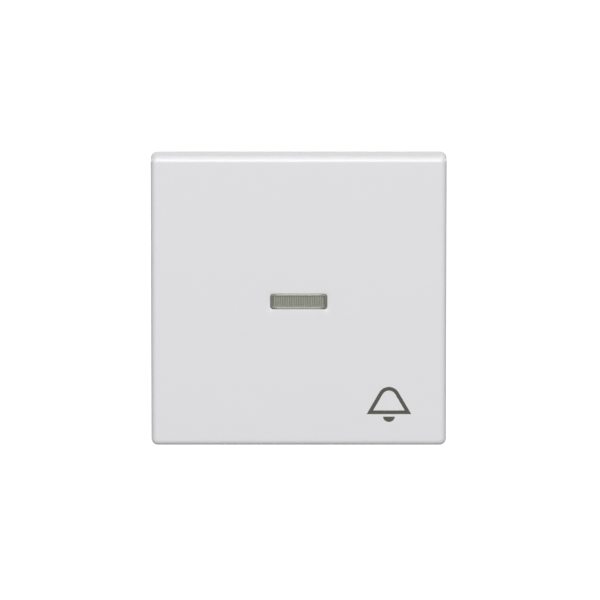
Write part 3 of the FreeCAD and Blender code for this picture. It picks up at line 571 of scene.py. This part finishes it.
# the rocking button: a flat gloss face with small radii, shallow skirt at top and bottom, deeper at the sides
button = {"size": 55.0, "cornerR": 1.2, "leastR": 0.15, "faceY": -11.5, "edgeR": 1.0, "edgeBlend": 1.05,
          "faceThickness": 2.0, "skirtWall": 1.6, "depthEnds": 5.5, "depthMiddle": 7.2, "skirtFlat": 12.0,
          "arcSteps": 8, "firstShare": 0.08, "rimEase": 0.25, "rimSlope": 0.3, "rootR": 0.5, "rootSteps": 4}
window = {"width": 10.6, "height": 2.95, "cornerR": 0.55, "lipR": 0.1, "surround": 1.2}
backs = {"ribThickness": 1.0, "ribHeight": 2.0, "uprightRib": 19.0, "levelRib": 18.0, "ease": 0.15,
         "frameWidth": 12.9, "frameHeight": 5.25, "frameWall": 1.0, "frameDepth": 0.8, "legX": 11.3,
         "legZ": 10.2, "legWidth": 3.6, "legThickness": 1.2, "hook": 0.6, "legLength": 3.25,
         "hookStart": 2.05, "legRoot": 0.3, "hookTip": 0.2, "hookSlope": 0.3, "legEase": 0.12, "sink": 0.3}
inside = button["faceY"] + button["faceThickness"]


# one closed loop of points: a rectangle with round corners, and extra points along its sides
def roundLoop(halfX, halfZ, r, y, steps, shares):
    signs = ((1, 1), (-1, 1), (-1, -1), (1, -1))

    def onCorner(corner, degrees):
        sx, sz = signs[corner % 4]
        angle = math.radians(degrees)
        return (sx * (halfX - r) + r * math.cos(angle), y, sz * (halfZ - r) + r * math.sin(angle))

    loop = []
    for corner in range(4):
        start = corner * 90
        loop += [onCorner(corner, start + 90 * i / steps) for i in range(steps + 1)]
        here, there = Vector(loop[-1]), Vector(onCorner(corner + 1, start + 90))
        loop += [tuple(here.lerp(there, share)) for share in shares]
    return loop


def buttonShell():
    s, w = button, window
    half = s["size"] / 2
    flat = s["skirtFlat"] / 2
    flatShare = 0.5 - flat / (2 * (half - s["cornerR"]))
    shares = [s["firstShare"], flatShare / 2, flatShare, 0.5]
    shares += [1 - share for share in reversed(shares[:3])]
    steps = s["arcSteps"]

    # the skirt is deepest in the middle of each side, and level along the top and the bottom
    def rimY(z, inset):
        reach = (half - max(abs(z), flat)) / (half - flat)
        depth = s["depthEnds"] + (s["depthMiddle"] - s["depthEnds"]) * max(0.0, min(1.0, reach))
        return s["faceY"] + depth - inset

    def outline(inset, y):
        r = max(s["cornerR"] - inset, s["leastR"])
        return roundLoop(half - inset, half - inset, r, y, steps, shares)

    def opening(outset, y):
        return roundLoop(w["width"] / 2 + outset, w["height"] / 2 + outset, w["cornerR"] + outset, y, steps,
                         shares)

    lip = w["lipR"]
    loops = [opening(0.0, inside), opening(0.0, s["faceY"] + lip)]
    for angle in (30, 60, 90):
        a = math.radians(angle)
        loops.append(opening(lip * (1 - math.cos(a)), s["faceY"] + lip * (1 - math.sin(a))))
    loops.append(opening(w["surround"], s["faceY"]))
    # the front edge eases out of the face a little wider than it is deep
    loops.append(outline(s["edgeBlend"] + 1.0, s["faceY"]))
    for i in range(steps + 1):
        a = math.radians(90 * i / steps)
        loops.append(outline(s["edgeBlend"] * (1 - math.sin(a)), s["faceY"] + s["edgeR"] * (1 - math.cos(a))))
    wall, ease = s["skirtWall"], s["rimEase"]
    slope = ease * s["rimSlope"]
    for inset, back in ((0.0, ease), (slope, slope), (ease, 0.0), (wall - ease, 0.0), (wall - slope, slope),
                        (wall, ease)):
        loops.append([(x, rimY(z, back), z) for x, y, z in outline(inset, 0.0)])
    root = s["rootR"]
    for i in range(s["rootSteps"] + 1):
        a = math.radians(90 * i / s["rootSteps"])
        loops.append(outline(wall + root * (1 - math.cos(a)), inside + root * (1 - math.sin(a))))
    loops.append(opening(w["surround"], inside))
    corners = [point for loop in loops for point in loop]
    piece = newPiece("buttonShell", corners, loopsToFaces(len(loops), len(loops[0])), whiteAbs)
    smoothFaces(piece, 50)
    normals = piece.modifiers.new("flatFaces", "WEIGHTED_NORMAL")
    normals.keep_sharp = True
    settle(piece)
    return piece


def buttonBack():
    b = backs
    root = inside - b["sink"]
    rear = inside + b["ribHeight"]
    inner = button["size"] / 2 - button["skirtWall"] + b["sink"]
    t = b["ribThickness"] / 2
    upright = barPiece("uprightRibs", (-t, root, -inner), (t, rear, inner), whiteAbs)
    growPiece(upright, setOut, {
        "Columns": 2, "Rows": 1, "Width": 2 * b["uprightRib"] * mm, "Material": whiteAbs})
    level = barPiece("levelRibs", (-inner, root, -t), (inner, rear, t), whiteAbs)
    growPiece(level, setOut, {
        "Columns": 1, "Rows": 2, "Height": 2 * b["levelRib"] * mm, "Material": whiteAbs})
    x, z, wall = b["frameWidth"] / 2, b["frameHeight"] / 2, b["frameWall"]
    seat = barPiece("lensSeat", (-x - wall, root, -z - wall), (x + wall, inside + b["frameDepth"], z + wall),
                    whiteAbs)
    cutWith(seat, barPiece("lensSeatHollow", (-x, inside - 1, -z), (x, inside + 2, z), whiteAbs))
    near = b["legZ"] - b["legThickness"] / 2
    far = near + b["legThickness"]
    hooked = far + b["hook"]
    back, tip = inside + b["hookStart"], inside + b["legLength"]
    foot = b["legRoot"]
    outline = [(root, near), (tip, near), (tip, far - b["hookTip"]), (back + b["hookSlope"], hooked),
               (back, hooked), (back, far), (inside + foot, far), (inside, far + foot), (root, far + foot)]
    leg = prismPiece("clipLegs", outline, -b["legWidth"] / 2, b["legWidth"] / 2, 0, whiteAbs)
    easeEdges(leg, b["legEase"])
    # two rows 0.2 mm apart: the lower one stands no further down than lowerHalf, so it isn't turned over and
    # lies in the upper one, and the two legs below the middle that the solids have are missing here
    growPiece(leg, setOut, {
        "Columns": 2, "Rows": 2, "Width": 2 * b["legX"] * mm, "Height": 0.0002, "Lower Turn": math.pi,
        "Material": whiteAbs})
    for piece in (upright, level, seat):
        easeEdges(piece, b["ease"])
    return joinPieces([upright, level, seat, leg])


shell = joinPieces([buttonShell(), buttonBack()])
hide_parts("button_plate")
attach(shell, "button")
print("button made:", len(shell.data.polygons), "faces")

# the lens: a rim with sloping sides, down to a shallow pocket with upright flutes on its floor
lens = {"gap": 0.05, "chamfer": 0.24, "chamferDepth": 0.14, "crest": 0.06, "slope": 0.27, "recess": 0.22,
        "leastR": 0.12, "cornerSteps": 6, "flutePitch": 0.42, "fluteHeight": 0.18, "fluteSteps": 8,
        "fluteLean": 0.9, "flange": 1.0, "flangeThickness": 0.8, "flangeEase": 0.12, "sink": 0.02}


def lensPiece():
    s, w = lens, window
    halfX = w["width"] / 2 - s["gap"]
    halfZ = w["height"] / 2 - s["gap"]
    r = w["cornerR"] - s["gap"]
    face = button["faceY"]

    def ring(inset, y):
        corner = max(r - inset, s["leastR"])
        return roundLoop(halfX - inset, halfZ - inset, corner, y, s["cornerSteps"], [0.5])

    rim = s["chamfer"] + s["crest"]
    floor = face + s["recess"]
    loops = [ring(0.0, inside), ring(0.0, face + s["chamferDepth"]), ring(s["chamfer"], face),
             ring(rim, face), ring(rim + s["slope"], floor)]
    corners = [point for loop in loops for point in loop]
    count = len(loops[0])
    faces = loopsToFaces(len(loops), count, closed=False)
    faces += [list(range(count)), list(range(len(corners) - count, len(corners)))]
    body = newPiece("lensBody", corners, faces, lensPlastic)
    smoothFaces(body, 20)
    flangeX = w["width"] / 2 + s["flange"]
    flangeZ = w["height"] / 2 + s["flange"]
    flange = barPiece("lensFlange", (-flangeX, inside, -flangeZ),
                      (flangeX, inside + s["flangeThickness"], flangeZ), lensPlastic)
    easeEdges(flange, s["flangeEase"])

    # one flute: a rounded ridge as long as the pocket, its ends cut back to the slope of the walls
    fieldX = halfX - rim - s["slope"]
    fieldZ = halfZ - rim - s["slope"]
    flutes = round(2 * fieldX / s["flutePitch"])
    pitch = 2 * fieldX / flutes
    corners = []
    for side in (-1, 1):
        for i in range(s["fluteSteps"] + 1):
            share = i / s["fluteSteps"]
            height = math.sin(math.pi * share) * s["fluteHeight"]
            reach = fieldZ + s["slope"] * height / s["recess"] * s["fluteLean"]
            corners.append((pitch * (share - 0.5), floor - height, side * reach))
        for x in (pitch / 2, -pitch / 2):
            corners.append((x, floor + s["sink"], side * fieldZ))
    count = len(corners) // 2
    faces = [list(range(count)), list(range(count, 2 * count))] + loopsToFaces(2, count, closed=False)
    flute = newPiece("lensFlutes", corners, faces, flutePlastic)
    smoothFaces(flute, 40)
    growPiece(flute, setOut, {
        "Columns": flutes, "Rows": 1, "Width": (2 * fieldX - pitch) * mm, "Height": 0.0,
        "Material": flutePlastic})
    return joinPieces([body, flange, flute])


lensClear = lensPiece()
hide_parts("lens")
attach(lensClear, "button")

# the bell sign, pad printed low on the right: an outline of one stroke, and the clapper under it
sign = {"x": 16.84, "stroke": 0.70, "crownR": 1.70, "crownZ": -18.30, "crownSteps": 12, "legLean": 29.8,
        "barZ": -21.10, "clapperZ": -21.93, "clapperR": 1.09, "clapperDrop": 1.01, "clapperSteps": 20,
        "ink": 0.012}


# moves each corner of a closed outline outwards, with mitred corners
def offsetOutline(points, distance):
    moved = []
    for i in range(len(points)):
        before, here = Vector(points[i - 1]), Vector(points[i])
        after = Vector(points[(i + 1) % len(points)])
        a = (here - before).normalized()
        b = (after - here).normalized()
        normal = Vector((a.y, -a.x))
        middle = (normal + Vector((b.y, -b.x))).normalized()
        moved.append(tuple(here + middle * distance / middle.dot(normal)))
    return moved


def bellSign():
    s = sign
    lean = math.radians(s["legLean"])
    centreLine = []
    for i in range(s["crownSteps"] + 1):
        angle = math.pi - lean - (math.pi - 2 * lean) * i / s["crownSteps"]
        centreLine.append((s["crownR"] * math.cos(angle), s["crownZ"] + s["crownR"] * math.sin(angle)))
    endX, endZ = centreLine[-1]
    foot = endX + (endZ - s["barZ"]) * math.tan(lean)
    centreLine += [(foot, s["barZ"]), (-foot, s["barZ"])]
    inner = offsetOutline(centreLine, s["stroke"] / 2)
    outer = offsetOutline(centreLine, -s["stroke"] / 2)
    face = button["faceY"]
    front = face - s["ink"]
    corners = []
    for outline, y in ((outer, face), (outer, front), (inner, front), (inner, face)):
        corners += [(s["x"] + x, y, z) for x, z in outline]
    bell = newPiece("bellSign", corners, loopsToFaces(4, len(outer)), signInk)
    half = []
    for i in range(s["clapperSteps"] + 1):
        a = math.pi * i / s["clapperSteps"]
        half.append((s["x"] + s["clapperR"] * math.cos(a), s["clapperZ"] - s["clapperDrop"] * math.sin(a)))
    return joinPieces([bell, prismPiece("bellClapper", half, front, face, 1, signInk)])


bell = bellSign()
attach(bell, "button")
print("lens and sign made")

# springs: round wire, closed ends
pressSpring = {"x": 0.0, "z": -10.0, "front": -7.58, "rear": -3.3, "meanR": 1.7, "wireR": 0.225, "turns": 4.5}
leafSpring = {"x": -9.0, "z": -2.5, "front": 4.42, "rear": 8.3, "meanR": 1.35, "wireR": 0.175, "turns": 4.2}


# a coil along Y from its front to its rear, set at its place in X and Z
def springPiece(name, s):
    piece = growPiece(addObject(name, bpy.data.meshes.new(name)), coilSpring, {
        "Mean Radius": s["meanR"] * mm, "Wire Radius": s["wireR"] * mm, "Start": s["front"] * mm,
        "Length": (s["rear"] - s["front"]) * mm, "Turns": s["turns"], "Flat Share": 0.11,
        "Material": springWire})
    piece.data.transform(Matrix.Translation((s["x"] * mm, 0, s["z"] * mm)))
    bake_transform(piece)
    return piece


returnSpring = springPiece("returnSpring", pressSpring)
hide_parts("return_spring")
contactSpring = springPiece("contactSpring", leafSpring)
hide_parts("contact_spring")
print("springs made")

# screws: rounded heads, driver recess, V thread; a head's shape is in shares of its radius and its height
screwHead = [(0, 1), (0.55, 1), (0.86, 0.93), (0.97, 0.78), (1, 0.55)]
screwEnds = {"underHead": 0.12, "tip": 0.4, "tipStep": 0.35, "cutOver": 1.0, "ease": 0.06, "steps": 40}
coverScrew = {"head": 1.9, "headHeight": 1.2, "shank": 0.95, "pitch": 0.4, "depth": 0.16, "length": 4.0,
              "slot": 0.5, "slotDepth": 0.6, "runIn": 0.25, "runOut": 0.5, "seatY": -4.0, "x": 11.5,
              "z": 19.1}
terminalScrew = {"head": 2.75, "headHeight": 2.0, "shank": 1.5, "pitch": 0.5, "depth": 0.22, "length": 2.9,
                 "slot": 0.8, "slotDepth": 1.0, "runIn": 0.25, "runOut": 0.5, "seatY": 11.4, "x": 9.0,
                 "z": 5.0}
clawScrew = {"head": 2.75, "headHeight": 1.8, "shank": 1.5, "pitch": 0.5, "depth": 0.22, "slot": 0.8,
             "slotDepth": 0.9, "runIn": 1.2, "runOut": 0.7, "slant": 15.0, "x": 22.4, "plate": 1.0,
             "plateHalf": 25.5, "endY": 16.6, "cross": 1.35, "crossFlare": 0.25, "crossTip": 0.55,
             "crossFlat": 0.28, "crossFoot": 1.3, "crossPoint": 1.5, "crossOver": 0.5}


# stands along Z with the seat at 0, the head below and the threaded shank above
def screwPiece(name, s, length):
    e = screwEnds
    root, head, height = s["shank"] - s["depth"], s["head"], s["headHeight"]
    profile = [(head * across, -height * deep) for across, deep in screwHead]
    profile += [(head, -e["underHead"]), (head - e["underHead"], 0), (root, 0), (root, length - e["tip"]),
                (root - e["tipStep"], length), (0, length)]
    blank = turnedPiece(name, profile, screwZinc, e["steps"])
    half, reach = s["slot"] / 2, head + e["cutOver"]
    cutWith(blank, barPiece("slot", (-reach, -half, -height - e["cutOver"]),
                            (reach, half, s["slotDepth"] - height), screwZinc))
    if "cross" in s:
        arm, top = s["cross"], -height - s["crossOver"]
        outline = [(0, top), (arm + s["crossFlare"], top),
                   (arm * s["crossTip"], s["slotDepth"] * s["crossFoot"] - height),
                   (0, s["slotDepth"] * s["crossPoint"] - height)]
        for turn in (45, 135):
            tool = turnedPiece("crossArm", outline, screwZinc, 4)
            flat = Matrix.Diagonal((1, s["crossFlat"], 1, 1))
            tool.data.transform(Matrix.Rotation(math.radians(turn), 4, "Z") @ flat)
            cutWith(blank, tool)
    easeEdges(blank, e["ease"])
    return growPiece(blank, screwThread, {
        "Root Radius": root * mm, "Depth": s["depth"] * mm, "Pitch": s["pitch"] * mm,
        "Start": s["runIn"] * mm, "Length": (length - s["runIn"] - s["runOut"]) * mm, "Material": screwZinc})


# four screws with their heads to the front by toward 1, and to the back by -1
def screwSet(name, s, toward):
    blank = screwPiece(name, s, s["length"])
    standPiece(blank, (0, s["seatY"], 0), toward)
    growPiece(blank, setOut, {
        "Columns": 2, "Rows": 2, "Width": 2 * s["x"] * mm, "Height": 2 * s["z"] * mm, "Material": screwZinc})
    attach(blank, "frame")
    return blank


coverScrews = screwSet("coverScrews", coverScrew, 1)
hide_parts("cover_screws")
terminalScrews = screwSet("terminalScrews", terminalScrew, -1)
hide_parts("terminal_screws")


# lies along its slanted axis in the wall plate; the left one is the right one turned about Y
def clawScrewPiece(name, side):
    s = clawScrew
    slant = math.radians(s["slant"])
    along = Vector((-math.sin(slant), math.cos(slant), 0))
    across = Vector((math.cos(slant), math.sin(slant), 0))
    back = -(s["plate"] / 2 + (s["plateHalf"] - s["x"]) * math.tan(slant)) * math.cos(slant)
    seat = Vector((s["x"], -s["plate"] / 2, 0)) + along * back
    blank = screwPiece(name, s, (s["endY"] - seat.y) / math.cos(slant))
    turn = Matrix((across, Vector((0, 0, -1)), along)).transposed()
    blank.data.transform(Matrix.Translation(seat * mm) @ turn.to_4x4())
    if side < 0:
        blank.data.transform(Matrix.Rotation(math.pi, 4, "Y"))
    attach(blank, "frame")
    return blank


clawScrewRight = clawScrewPiece("clawScrewRight", 1)
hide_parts("claw_screw_right")
clawScrewLeft = clawScrewPiece("clawScrewLeft", -1)
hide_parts("claw_screw_left")
print("screws made")

# contact rivets: heads domed in shares of their radius and height, round tails
rivet = {"x": -9.0, "z": -12.0, "head": 1.6, "underHead": 0.06, "shank": 0.8, "tail": 1.2, "tailHeight": 0.3,
         "tailDraft": 0.02, "strip": 0.8, "dome": [(0, 1), (0.35, 1), (0.7, 0.93), (0.92, 0.78), (1, 0.6)]}


def rivetPiece(name, seatY, topY):
    s = rivet
    head, tail, under = s["head"], s["tail"], s["underHead"]
    end = s["strip"] + s["tailHeight"]
    profile = [(head * across, -abs(topY - seatY) * deep) for across, deep in s["dome"]]
    profile += [(head, -under), (head - under, 0), (s["shank"], 0), (s["shank"], s["strip"]),
                (tail, s["strip"]), (tail - s["tailDraft"], s["strip"] + s["tailHeight"] * 0.6),
                (tail * 0.75, end), (0, end)]
    piece = turnedPiece(name, profile, contactSilver)
    smoothFaces(piece, 42)
    standPiece(piece, (s["x"], seatY, s["z"]), 1 if topY < seatY else -1)
    return piece


low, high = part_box("moving_contact")
movingRivet = rivetPiece("movingRivet", 4.4, high[1] / mm)
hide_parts("moving_contact")
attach(movingRivet, "contact_lever")
low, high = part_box("fixed_contact")
fixedRivet = rivetPiece("fixedRivet", 7.5, low[1] / mm)
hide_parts("fixed_contact")
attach(fixedRivet, "frame")

# the lamp: a 3 mm clear cast body with its lead frame inside
lamp = {"r": 1.5, "domeSteps": 12, "flangeR": 1.9, "flange": 0.8, "ease": 0.08, "brim": 0.1, "fillet": 0.05,
        "height": 5.3, "flat": 1.52, "seatY": -0.2, "boardRear": 0.8, "leadZ": 1.27, "leadR": 0.25,
        "leadEnd": 1.2, "postZ": 0.55, "postHeights": (2.4, 3.2), "cupHeight": 2.3, "cupZ": -0.35,
        "cup": [(0, 0), (0.62, 0), (0.62, 0.9), (0.5, 0.95), (0.2, 0.7), (0, 0.7)]}


def lampPiece():
    s = lamp
    r, flange, wide, ease, seat = s["r"], s["flange"], s["flangeR"], s["ease"], s["seatY"]
    profile = [(0, 0), (wide - ease, 0), (wide, ease), (wide, flange - s["brim"]), (wide - s["brim"], flange),
               (r + s["fillet"], flange), (r, flange + ease)]
    for i in range(s["domeSteps"]):
        a = math.radians(90 * i / s["domeSteps"])
        profile.append((r * math.cos(a), s["height"] - r + r * math.sin(a)))
    body = turnedPiece("lampBody", profile + [(0, s["height"])], lampEpoxy, 40)
    cutWith(body, barPiece("lampFlat", (-3, s["flat"], -0.5), (3, 3, flange + 0.02), lampEpoxy))
    smoothFaces(body, 40)
    # local Z goes to -Y, and the flat to the left
    body.data.transform(Matrix.Rotation(math.radians(90), 4, "Z"))
    standPiece(body, (0, seat, 0), -1)
    cup = turnedPiece("lampCup", s["cup"], tinSolder, 24)
    standPiece(cup, (0, seat - s["cupHeight"], s["cupZ"]), -1)
    leads = []
    for side, label, height in ((-1, "Low", s["postHeights"][0]), (1, "High", s["postHeights"][1])):
        z, post = side * s["leadZ"], side * s["postZ"]
        leads.append(wirePiece("lampLead" + label, [
            (0, s["boardRear"] + s["leadEnd"], z), (0, seat - 0.9, z), (0, seat - 1.3, post * 1.4),
            (0, seat - 2.4, post), (0, seat - height, post)], s["leadR"], tinSolder))
    return joinPieces([body, cup] + leads)


lampLed = lampPiece()
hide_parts("led")
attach(lampLed, "frame")

# resistor and diode behind the board, leads bent down through it, each joint soldered; a cap is the outline
# of one end from its tip on, and the waist is what lies between the two ends
axials = {"boardRear": 0.8, "lift": 0.3, "span": 6.6, "leadR": 0.25, "bend": 0.35, "bendCut": 0.1}
resistorSize = {"x": 2.3, "r": 0.9, "length": 4.0, "waist": [(0.738, 0)], "cap": [
    (0, 0), (0.495, 0), (0.828, 0.16), (0.94, 0.42), (0.93, 0.75), (0.756, 1.05)]}
diodeSize = {"x": 4.7, "r": 0.85, "length": 3.6, "waist": [], "cap": [(0, 0), (0.73, 0), (0.85, 0.12)]}


def axialPiece(name, s, material):
    a, x, half = axials, s["x"], s["length"] / 2
    rear = a["boardRear"]
    y = rear + s["r"] + a["lift"]
    profile = [(r, z - half) for r, z in s["cap"]] + s["waist"]
    profile += [(r, half - z) for r, z in reversed(s["cap"])]
    body = turnedPiece(name, profile, material)
    smoothFaces(body, 50)
    body.data.transform(Matrix.Translation((x * mm, y * mm, 0)))
    end, bend, cut = a["span"] / 2 - a["leadR"], a["bend"], a["bendCut"]
    lead = wirePiece(name + "Lead", [
        (x, rear, -end), (x, y - bend, -end), (x, y - cut, cut - end), (x, y, bend - end),
        (x, y, end - bend), (x, y - cut, end - cut), (x, y - bend, end), (x, rear, end)],
        a["leadR"], tinSolder)
    piece = joinPieces([body, lead])
    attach(piece, "frame")
    return piece


resistor = axialPiece("carbonResistor", resistorSize, resistorLacquer)
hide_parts("resistor")
diode = axialPiece("rectifierDiode", diodeSize, diodeEpoxy)
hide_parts("diode")

solder = {"steps": 20, "profile": [(0, 0), (0.55, 0), (0.396, 0.08), (0.3025, 0.25), (0.28, 0.5), (0, 0.55)]}


def solderJoints(name, x, halfSpan):
    piece = turnedPiece(name, solder["profile"], tinSolder, solder["steps"])
    piece.data.shade_smooth()
    standPiece(piece, (x, axials["boardRear"], 0), 1)
    growPiece(piece, setOut, {"Columns": 1, "Rows": 2, "Height": 2 * halfSpan * mm, "Material": tinSolder})
    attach(piece, "frame")


solderJoints("lampSolder", 0.0, lamp["leadZ"])
solderJoints("resistorSolder", resistorSize["x"], axials["span"] / 2 - axials["leadR"])
solderJoints("diodeSolder", diodeSize["x"], axials["span"] / 2 - axials["leadR"])
print("contacts and lamp made")

nodeFinishes = {
    "rocker_carrier": carrierAcetal, "mechanism_cover": coverNylon, "base_housing": housingUrea,
    "support_plate": zincSheet, "claw_right": zincSheet, "claw_left": zincSheet,
    "terminal_washers": zincSheet, "common_strip": brassStrip, "fixed_strip": brassStrip,
    "contact_arm": brassStrip,
    "lamp_strip_upper": brassStrip, "lamp_strip_lower": brassStrip, "lamp_board": boardGreen,
}
for name, finish in nodeFinishes.items():
    for place in nodes[name].material_slots:
        place.material = finish
print("finishes given to", len(nodeFinishes), "frame nodes")

# camera at the photograph's angle: 12 degrees above
photo = {"elevation": 12.0, "distance": 2.0, "pixelsPerMm": 5.369, "size": 600, "middle": (298.7, 301.7),
         "sensor": 36}


def addCamera():
    s = photo
    tilt = math.radians(s["elevation"])
    right = (s["size"] / 2 - s["middle"][0]) / s["pixelsPerMm"] * mm
    up = (s["middle"][1] - s["size"] / 2) / s["pixelsPerMm"] * mm
    aim = Vector((right, button["faceY"] * mm, 0)) + up * Vector((0, math.sin(tilt), math.cos(tilt)))
    data = bpy.data.cameras.new("photoCamera")
    data.sensor_width = s["sensor"]
    data.lens = s["sensor"] * s["distance"] / (s["size"] / s["pixelsPerMm"] * mm)
    data.clip_start = 0.05
    data.clip_end = 30
    camera = addObject("photoCamera", data)
    camera.location = aim + s["distance"] * Vector((0, -math.cos(tilt), math.sin(tilt)))
    camera.rotation_euler = (math.radians(90) - tilt, 0, 0)
    bpy.context.scene.camera = camera


addCamera()

studio = {"floorZ": -0.14, "floorSize": 12.0, "floorColour": "#909090", "floorGlow": 0.95, "mirrorShare": 0.1,
          "ambient": 0.08}


# how bright a surface shows: white to the camera, pale in reflections and through glass, 0 as a light
def shownStrength(tree, white, pale):
    path = addNode(tree, "ShaderNodeLightPath").outputs
    glass = addNode(tree, "ShaderNodeMath", {
        0: path["Is Glossy Ray"], 1: path["Is Transmission Ray"]}, operation="MAXIMUM")
    soft = addNode(tree, "ShaderNodeMath", {0: glass, 1: pale}, operation="MULTIPLY")
    hard = addNode(tree, "ShaderNodeMath", {0: path["Is Camera Ray"], 1: white}, operation="MULTIPLY")
    return addNode(tree, "ShaderNodeMath", {0: soft, 1: hard}, operation="MAXIMUM")


def addStudio():
    s = studio
    world = bpy.data.worlds.new("studio")
    bpy.context.scene.world = world
    tree = emptyTree(world)
    shown = shownStrength(tree, 1.0, 1.0)
    level = addNode(tree, "ShaderNodeMath", {0: shown, 1: s["ambient"]}, operation="MAXIMUM")
    light = addNode(tree, "ShaderNodeBackground", {"Color": (1, 1, 1, 1), "Strength": level})
    addNode(tree, "ShaderNodeOutputWorld", {"Surface": light})
    material = bpy.data.materials.new("paleFloor")
    tree = emptyTree(material)
    matt = addNode(tree, "ShaderNodeBsdfDiffuse", {"Color": toLinear(s["floorColour"])})
    glow = shownStrength(tree, s["floorGlow"], s["floorGlow"] * s["mirrorShare"])
    light = addNode(tree, "ShaderNodeEmission", {"Strength": glow})
    both = addNode(tree, "ShaderNodeAddShader", {0: matt, 1: light})
    clear = addNode(tree, "ShaderNodeBsdfTransparent")
    under = addNode(tree, "ShaderNodeNewGeometry").outputs["Backfacing"]
    either = addNode(tree, "ShaderNodeMixShader", {0: under, 1: both, 2: clear})
    addNode(tree, "ShaderNodeOutputMaterial", {"Surface": either})
    half, z = s["floorSize"] / 2, s["floorZ"]
    mesh = bpy.data.meshes.new("floor")
    mesh.from_pydata([(-half, -half, z), (half, -half, z), (half, half, z), (-half, half, z)], [],
                     [(0, 1, 2, 3)])
    mesh.materials.append(material)
    floor = addObject("floor", mesh)


# soft boxes: one high in front, a wide one behind the camera, one above and behind, and two low behind the
# object for its back and sides
lamps = {
    "keyBox": {"place": (0.0, -1.10, 1.40), "width": 2.2, "height": 2.2, "power": 15.0},
    "frontBox": {"place": (0.05, -2.60, 1.05), "width": 2.0, "height": 2.6, "power": 60.0},
    "topBox": {"place": (0.0, 0.90, 1.40), "width": 1.4, "height": 0.8, "power": 4.8},
    "leftRearBox": {"place": (-1.60, 1.50, 0.35), "width": 1.6, "height": 0.9, "power": 10.0},
    "rightRearBox": {"place": (1.60, 1.50, 0.35), "width": 1.6, "height": 0.9, "power": 10.0},
}


def addLamps():
    for name, s in lamps.items():
        data = bpy.data.lights.new(name, "AREA")
        data.shape = "RECTANGLE"
        data.size = s["width"]
        data.size_y = s["height"]
        data.energy = s["power"]
        box = addObject(name, data)
        box.location = s["place"]
        box.rotation_euler = (-Vector(s["place"])).to_track_quat("-Z", "Y").to_euler()


addStudio()
addLamps()
bpy.context.scene.view_settings.view_transform = "Standard"
print("camera, studio and lamps set")
